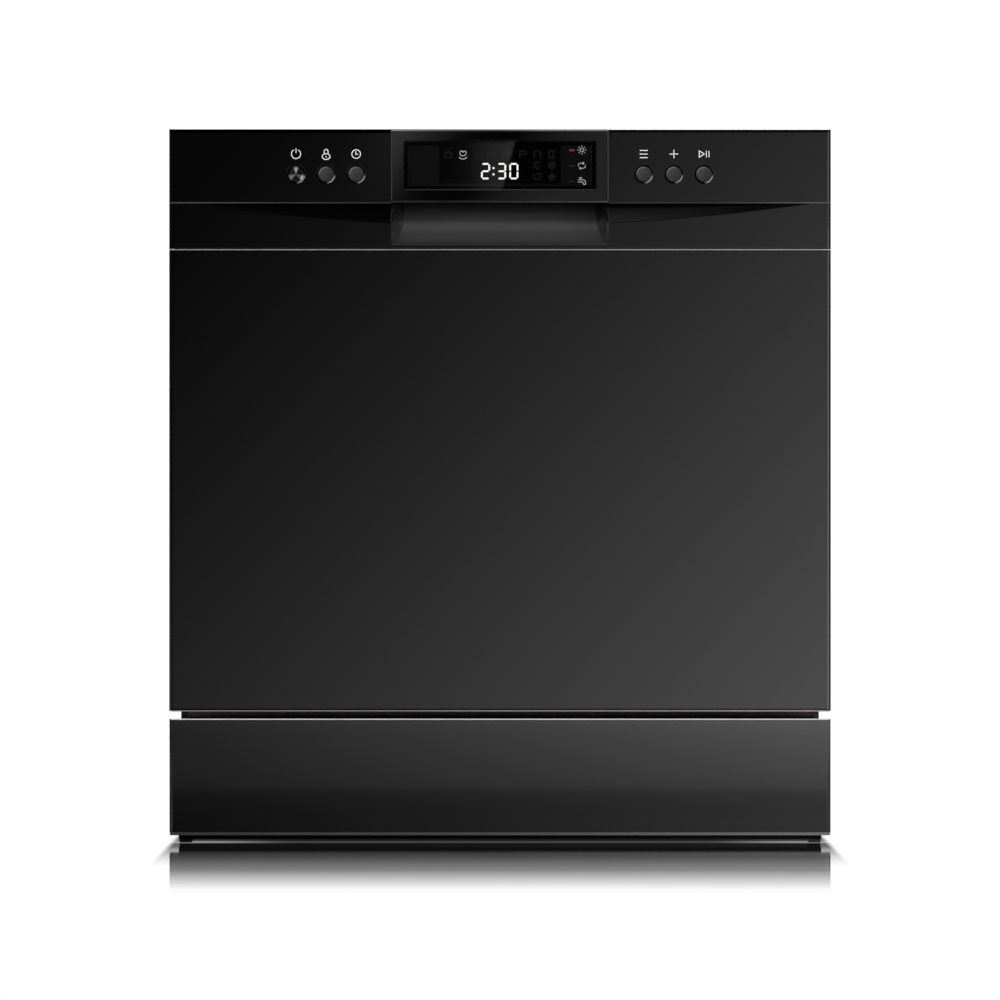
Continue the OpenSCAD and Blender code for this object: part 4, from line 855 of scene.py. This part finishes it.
# strokes in mm round a place in metres, all of one width
def drawSign(name, place, strokes, y, width, finish):
    drawn = [drawStroke(shifted(stroke, place), y, signDepth, width) for stroke in strokes]
    finishPiece(joinPieces(drawn, name), finish, "door", "white_plastic")


# ---- marks over the buttons
signDepth = 0.00012
markPlan = {"y": -0.24856, "width": 0.00072, "z": 0.5733}
marks = {
    "power": [arc((0, 0), 3.8, 118, 422, 30), [(0, 0.8), (0, 4.6)]],
    "lock": [arc((0, -2.1), 3.3, 0, 360, 28, 0.72),
             [(-1.6, -0.2)] + arc((0, 2.2), 1.6, 180, 0, 12) + [(1.6, -0.2)],
             [(0, -1.6), (0, -2.7)]],
    "clock": [arc((0, 0), 3.6, 0, 360, 30), [(-0.3, 2.3), (-0.3, -0.2), (1.5, -0.2)]],
    "program": [[(-3.3, 3.0), (3.3, 3.0)], [(-3.3, 0), (3.3, 0)], [(-3.3, -3.0), (3.3, -3.0)]],
    "extra": [[(-3.5, 0), (3.5, 0)], [(0, 3.5), (0, -3.5)]],
    "start": [[(-3.9, 2.6), (0.3, 0), (-3.9, -2.6), (-3.9, 2.6)],
              [(2.0, 2.7), (2.0, -2.7)], [(4.2, 2.7), (4.2, -2.7)]],
}
for (name, strokes), x in zip(marks.items(), buttonX.values()):
    drawSign(name + "Mark", (x, markPlan["z"]), strokes, markPlan["y"], markPlan["width"], "printedWhitePaintedGlow")
print("button marks drawn")


# ---- display: clock digits made of rounded segments, programme signs, status lamps
displayPlan = {
    "y": -0.24735, "digits": (2, 3, 0), "digitX": [-0.0120, 0.0013, 0.0115], "digitZ": 0.5591,
    "digitHigh": 0.0121, "digitWide": 0.0061, "stroke": 0.0014, "gap": 0.0006,
    "colonX": -0.0054, "colonRise": 0.215, "dotRadius": 0.9, "dotSides": 16,
}
segmentEnds = {  # on a grid of one digit: (x, z) from 0 to 1 and from 0 to 2
    "top": ((0, 2), (1, 2)), "upperLeft": ((0, 2), (0, 1)), "upperRight": ((1, 2), (1, 1)),
    "middle": ((0, 1), (1, 1)), "lowerLeft": ((0, 1), (0, 0)), "lowerRight": ((1, 1), (1, 0)),
    "bottom": ((0, 0), (1, 0)),
}
digitSegments = {
    2: ["top", "upperRight", "middle", "lowerLeft", "bottom"],
    3: ["top", "upperRight", "middle", "lowerRight", "bottom"],
    0: ["top", "upperRight", "lowerRight", "bottom", "lowerLeft", "upperLeft"],
}


def segmentStroke(x, ends, plan):
    (x0, z0), (x1, z1) = [(x + (u - 0.5) * plan["digitWide"], plan["digitZ"] + (v / 2 - 0.5) * plan["digitHigh"])
                          for u, v in ends]
    length = math.hypot(x1 - x0, z1 - z0)
    ux, uz = (x1 - x0) / length * plan["gap"], (z1 - z0) / length * plan["gap"]
    return [(x0 + ux, z0 + uz), (x1 - ux, z1 - uz)]


def makeDigits(plan):
    drawn = []
    for x, digit in zip(plan["digitX"], plan["digits"]):
        for segment in digitSegments[digit]:
            drawn.append(drawStroke(segmentStroke(x, segmentEnds[segment], plan), plan["y"], signDepth,
                                    plan["stroke"]))
    steps = plan["dotSides"] - 1
    for rise in (plan["colonRise"], -plan["colonRise"]):
        place = (plan["colonX"], plan["digitZ"] + rise * plan["digitHigh"])
        dot = shifted(arc((0, 0), plan["dotRadius"], 0, 360 * steps / plan["dotSides"], steps), place)
        drawn.append(drawFilled(dot, plan["y"], signDepth))
    finishPiece(joinPieces(drawn, "clockDigits"), "segmentWhite", "door", "white_plastic")


makeDigits(displayPlan)

cupPlan = {"place": (-0.0307, 0.5730), "width": 0.00048}
cupStrokes = [arc((0, 1.5), 2.7, 180, 360, 16), arc((-1.35, 1.5), 1.35, 180, 0, 10),
              arc((1.35, 1.5), 1.35, 180, 0, 10), arc((0, 0.2), 4.0, 215, 325, 12)]
drawSign("cupSign", cupPlan["place"], cupStrokes, displayPlan["y"], cupPlan["width"], "signWhite")

# unlit signs with a faint painted glow, in three rows: x, strokes
faintWidth = 0.0006
faintSigns = {
    0.5731: {
        "potSign": (-0.0431, [[(-3, 1.2), (3, 1.2), (2.6, -2.6), (-2.6, -2.6), (-3, 1.2)],
                              [(-1, 2.4), (1, 2.4)]]),
        "leafSign": (-0.0185, [[(-3, 2), (-3, -2)], [(0, 2), (0, -2)], [(3, 2), (3, -2)]]),
        "glassSign": (-0.0066, [[(-2.2, 2.8), (-1.6, -0.4), (1.6, -0.4), (2.2, 2.8)], [(0, -0.4), (0, -2.8)],
                                [(-1.8, -2.8), (1.8, -2.8)]]),
        "fastSign": (0.0057, [arc((0, 0), 2.7, 20, 340, 18), [(0, 1.6), (0, 0), (1.2, -0.8)]]),
        "dropSign": (0.0190, [[(-2.6, -2.8), (-2.6, 2.8), (2.4, 2.8), (2.4, 0.2), (-2.6, 0.2)]]),
        "plateSign": (0.0312, [arc((0, 0.4), 2.6, 0, 180, 14) + [(-2.6, -2.8)], [(2.6, 0.4), (2.6, -2.8)]]),
        "rackSign": (0.0430, [[(-3.2, 2.8), (3.2, 2.8)], [(-2.2, 2.8), (-2.2, -2.8), (3.2, -2.8)],
                              [(1.2, 2.8), (1.2, -2.8)]]),
    },
    0.5640: {
        "halfSign": (0.0312, [arc((0, 0), 2.6, 40, 320, 18), [(0, 1.4), (0, -1.4)]]),
        "dishSign": (0.0430, [arc((0, 0), 2.8, 0, 360, 22), arc((0, 0), 1.3, 0, 360, 14)]),
    },
    0.5545: {
        "dryingSign": (0.0312, [arc((-1.6, 0.4), 1.8, 90, 270, 10), arc((1.2, 0.8), 2.0, -60, 150, 12),
                                [(-2, -2), (2.4, -2)]]),
        "boosterSign": (0.0430, [[(0, 2.9), (2.9, 0), (0, -2.9), (-2.9, 0), (0, 2.9)],
                                 arc((0, 0), 1.0, 0, 360, 12)]),
    },
}
for z, row in faintSigns.items():
    for name, (x, strokes) in row.items():
        drawSign(name, (x, z), strokes, displayPlan["y"], faintWidth, "segmentFaint")

# white signs beside the three lamps: z, strokes
statusPlan = {"x": 0.0680, "y": -0.2461, "width": 0.0004}


def ray(angle, near, far):
    turn = math.radians(angle)
    return [(near * math.cos(turn), near * math.sin(turn)), (far * math.cos(turn), far * math.sin(turn))]


statusSigns = {
    "brightSign": (0.5768, [arc((0, 0), 1.5, 0, 360, 16)] + [ray(angle, 2.6, 3.6) for angle in range(0, 360, 45)]),
    "saltSign": (0.5637, [[(-2.8, -0.6), (-2.8, 1.4), (-1.4, 2.1), (1.8, 2.1)],
                          [(0.7, 3.1), (1.9, 2.1), (0.7, 1.1)],
                          [(2.8, 0.6), (2.8, -1.4), (1.4, -2.1), (-1.8, -2.1)],
                          [(-0.7, -3.1), (-1.9, -2.1), (-0.7, -1.1)]]),
    "tapSign": (0.5508, [[(-3.2, 1.2), (0.8, 1.2)] + arc((0.8, -1.2), 2.4, 90, 0, 8) + [(3.2, -2.6)],
                         [(-3.2, -0.6), (0.4, -0.6), (1.3, -1.4), (1.3, -2.6), (3.2, -2.6)],
                         [(-1.0, 1.2), (-1.0, 2.7)], [(-2.4, 2.9), (0.4, 2.9)]]),
}
for name, (z, strokes) in statusSigns.items():
    drawSign(name, (statusPlan["x"], z), strokes, statusPlan["y"], statusPlan["width"], "signWhite")

# z, finish, half length in mm, width
# the two off lamps carry a faint painted glow
lampPlan = {"programLamp": (0.5766, "lampRed", 2.1, 0.0015), "saltLamp": (0.5637, "lampOff", 2.2, 0.0008),
            "tapLamp": (0.5508, "lampOff", 2.2, 0.0008)}
lampX = 0.0597
for name, (z, finish, half, width) in lampPlan.items():
    drawSign(name, (lampX, z), [[(-half, 0), (half, 0)]], statusPlan["y"], width, finish)
print("display drawn")


# ---- painted highlights: thin bright strips along the edges of the front panels, and the mask behind the window
strips = {  # from corner, to corner, finish, body
    "doorTopTrim": ((-0.2745, -0.2487, 0.49345), (0.2745, -0.2472, 0.49418), "seamTrim", "door"),
    "doorFootTrim": ((-0.2735, -0.2478, 0.1100), (0.2735, -0.2462, 0.1115), "footTrim", "door"),
    "kickTopTrim": ((-0.2735, -0.2418, 0.10285), (0.2735, -0.2396, 0.10385), "kickTrim", "cabinet"),
    "kickFootTrim": ((-0.2745, -0.2443, 0.0070), (0.2745, -0.2433, 0.0094), "lipTrim", "cabinet"),
    "ledgeLeftTrim": ((-0.2742, -0.2486, 0.5322), (-0.0908, -0.2476, 0.5334), "ledgeTrim", "door"),
    "ledgeRightTrim": ((0.0908, -0.2486, 0.5322), (0.2742, -0.2476, 0.5334), "ledgeTrim", "door"),
    "displayFootTrim": ((-0.0903, -0.25, 0.5330), (0.0903, -0.2492, 0.5339), "displayTrim", "door"),
    "bezelTopTrim": ((-0.0903, -0.25, 0.5922), (0.0903, -0.2492, 0.5934), "bezelTrim", "door"),
    "bezelLeftTrim": ((-0.0905, -0.25, 0.5345), (-0.0895, -0.2492, 0.5922), "sideTrim", "door"),
    "bezelRightTrim": ((0.0893, -0.25, 0.5345), (0.0903, -0.2492, 0.5922), "sideTrim", "door"),
    "windowFootTrim": ((-0.0793, -0.24985, 0.5431), (0.0793, -0.2492, 0.5439), "sideTrim", "door"),
    "maskLeft": ((-0.0794, -0.2475, 0.5434), (-0.0755, -0.2472, 0.5839), "windowMask", "door"),
    "maskRight": ((0.0755, -0.2475, 0.5434), (0.0794, -0.2472, 0.5839), "windowMask", "door"),
    "maskTop": ((-0.0755, -0.2475, 0.5815), (0.0755, -0.2472, 0.5839), "windowMask", "door"),
    "maskFoot": ((-0.0755, -0.2475, 0.5434), (0.0755, -0.2472, 0.5458), "windowMask", "door"),
}
bevelPlan = {"share": 0.25, "segments": 3}  # share of a trim's thinnest side


def makeStrip(name, low, high, finish, body):
    deselectAll()
    middle = [(a + b) / 2 for a, b in zip(low, high)]
    size = [b - a for a, b in zip(low, high)]
    bpy.ops.mesh.primitive_cube_add(size=1.0, location=middle, scale=size)
    bpy.ops.object.transform_apply(location=True, rotation=True, scale=True)
    bpy.ops.object.mode_set(mode="EDIT")
    bpy.ops.mesh.select_all(action="SELECT")
    bpy.ops.mesh.bevel(offset=min(size) * bevelPlan["share"], segments=bevelPlan["segments"], affect="EDGES")
    bpy.ops.object.mode_set(mode="OBJECT")
    piece = bpy.context.object
    piece.name = name
    finishPiece(piece, finish, body, "black_plastic" if finish == "windowMask" else "zinc_steel")


for name, values in strips.items():
    makeStrip(name, *values)
print("trims laid")
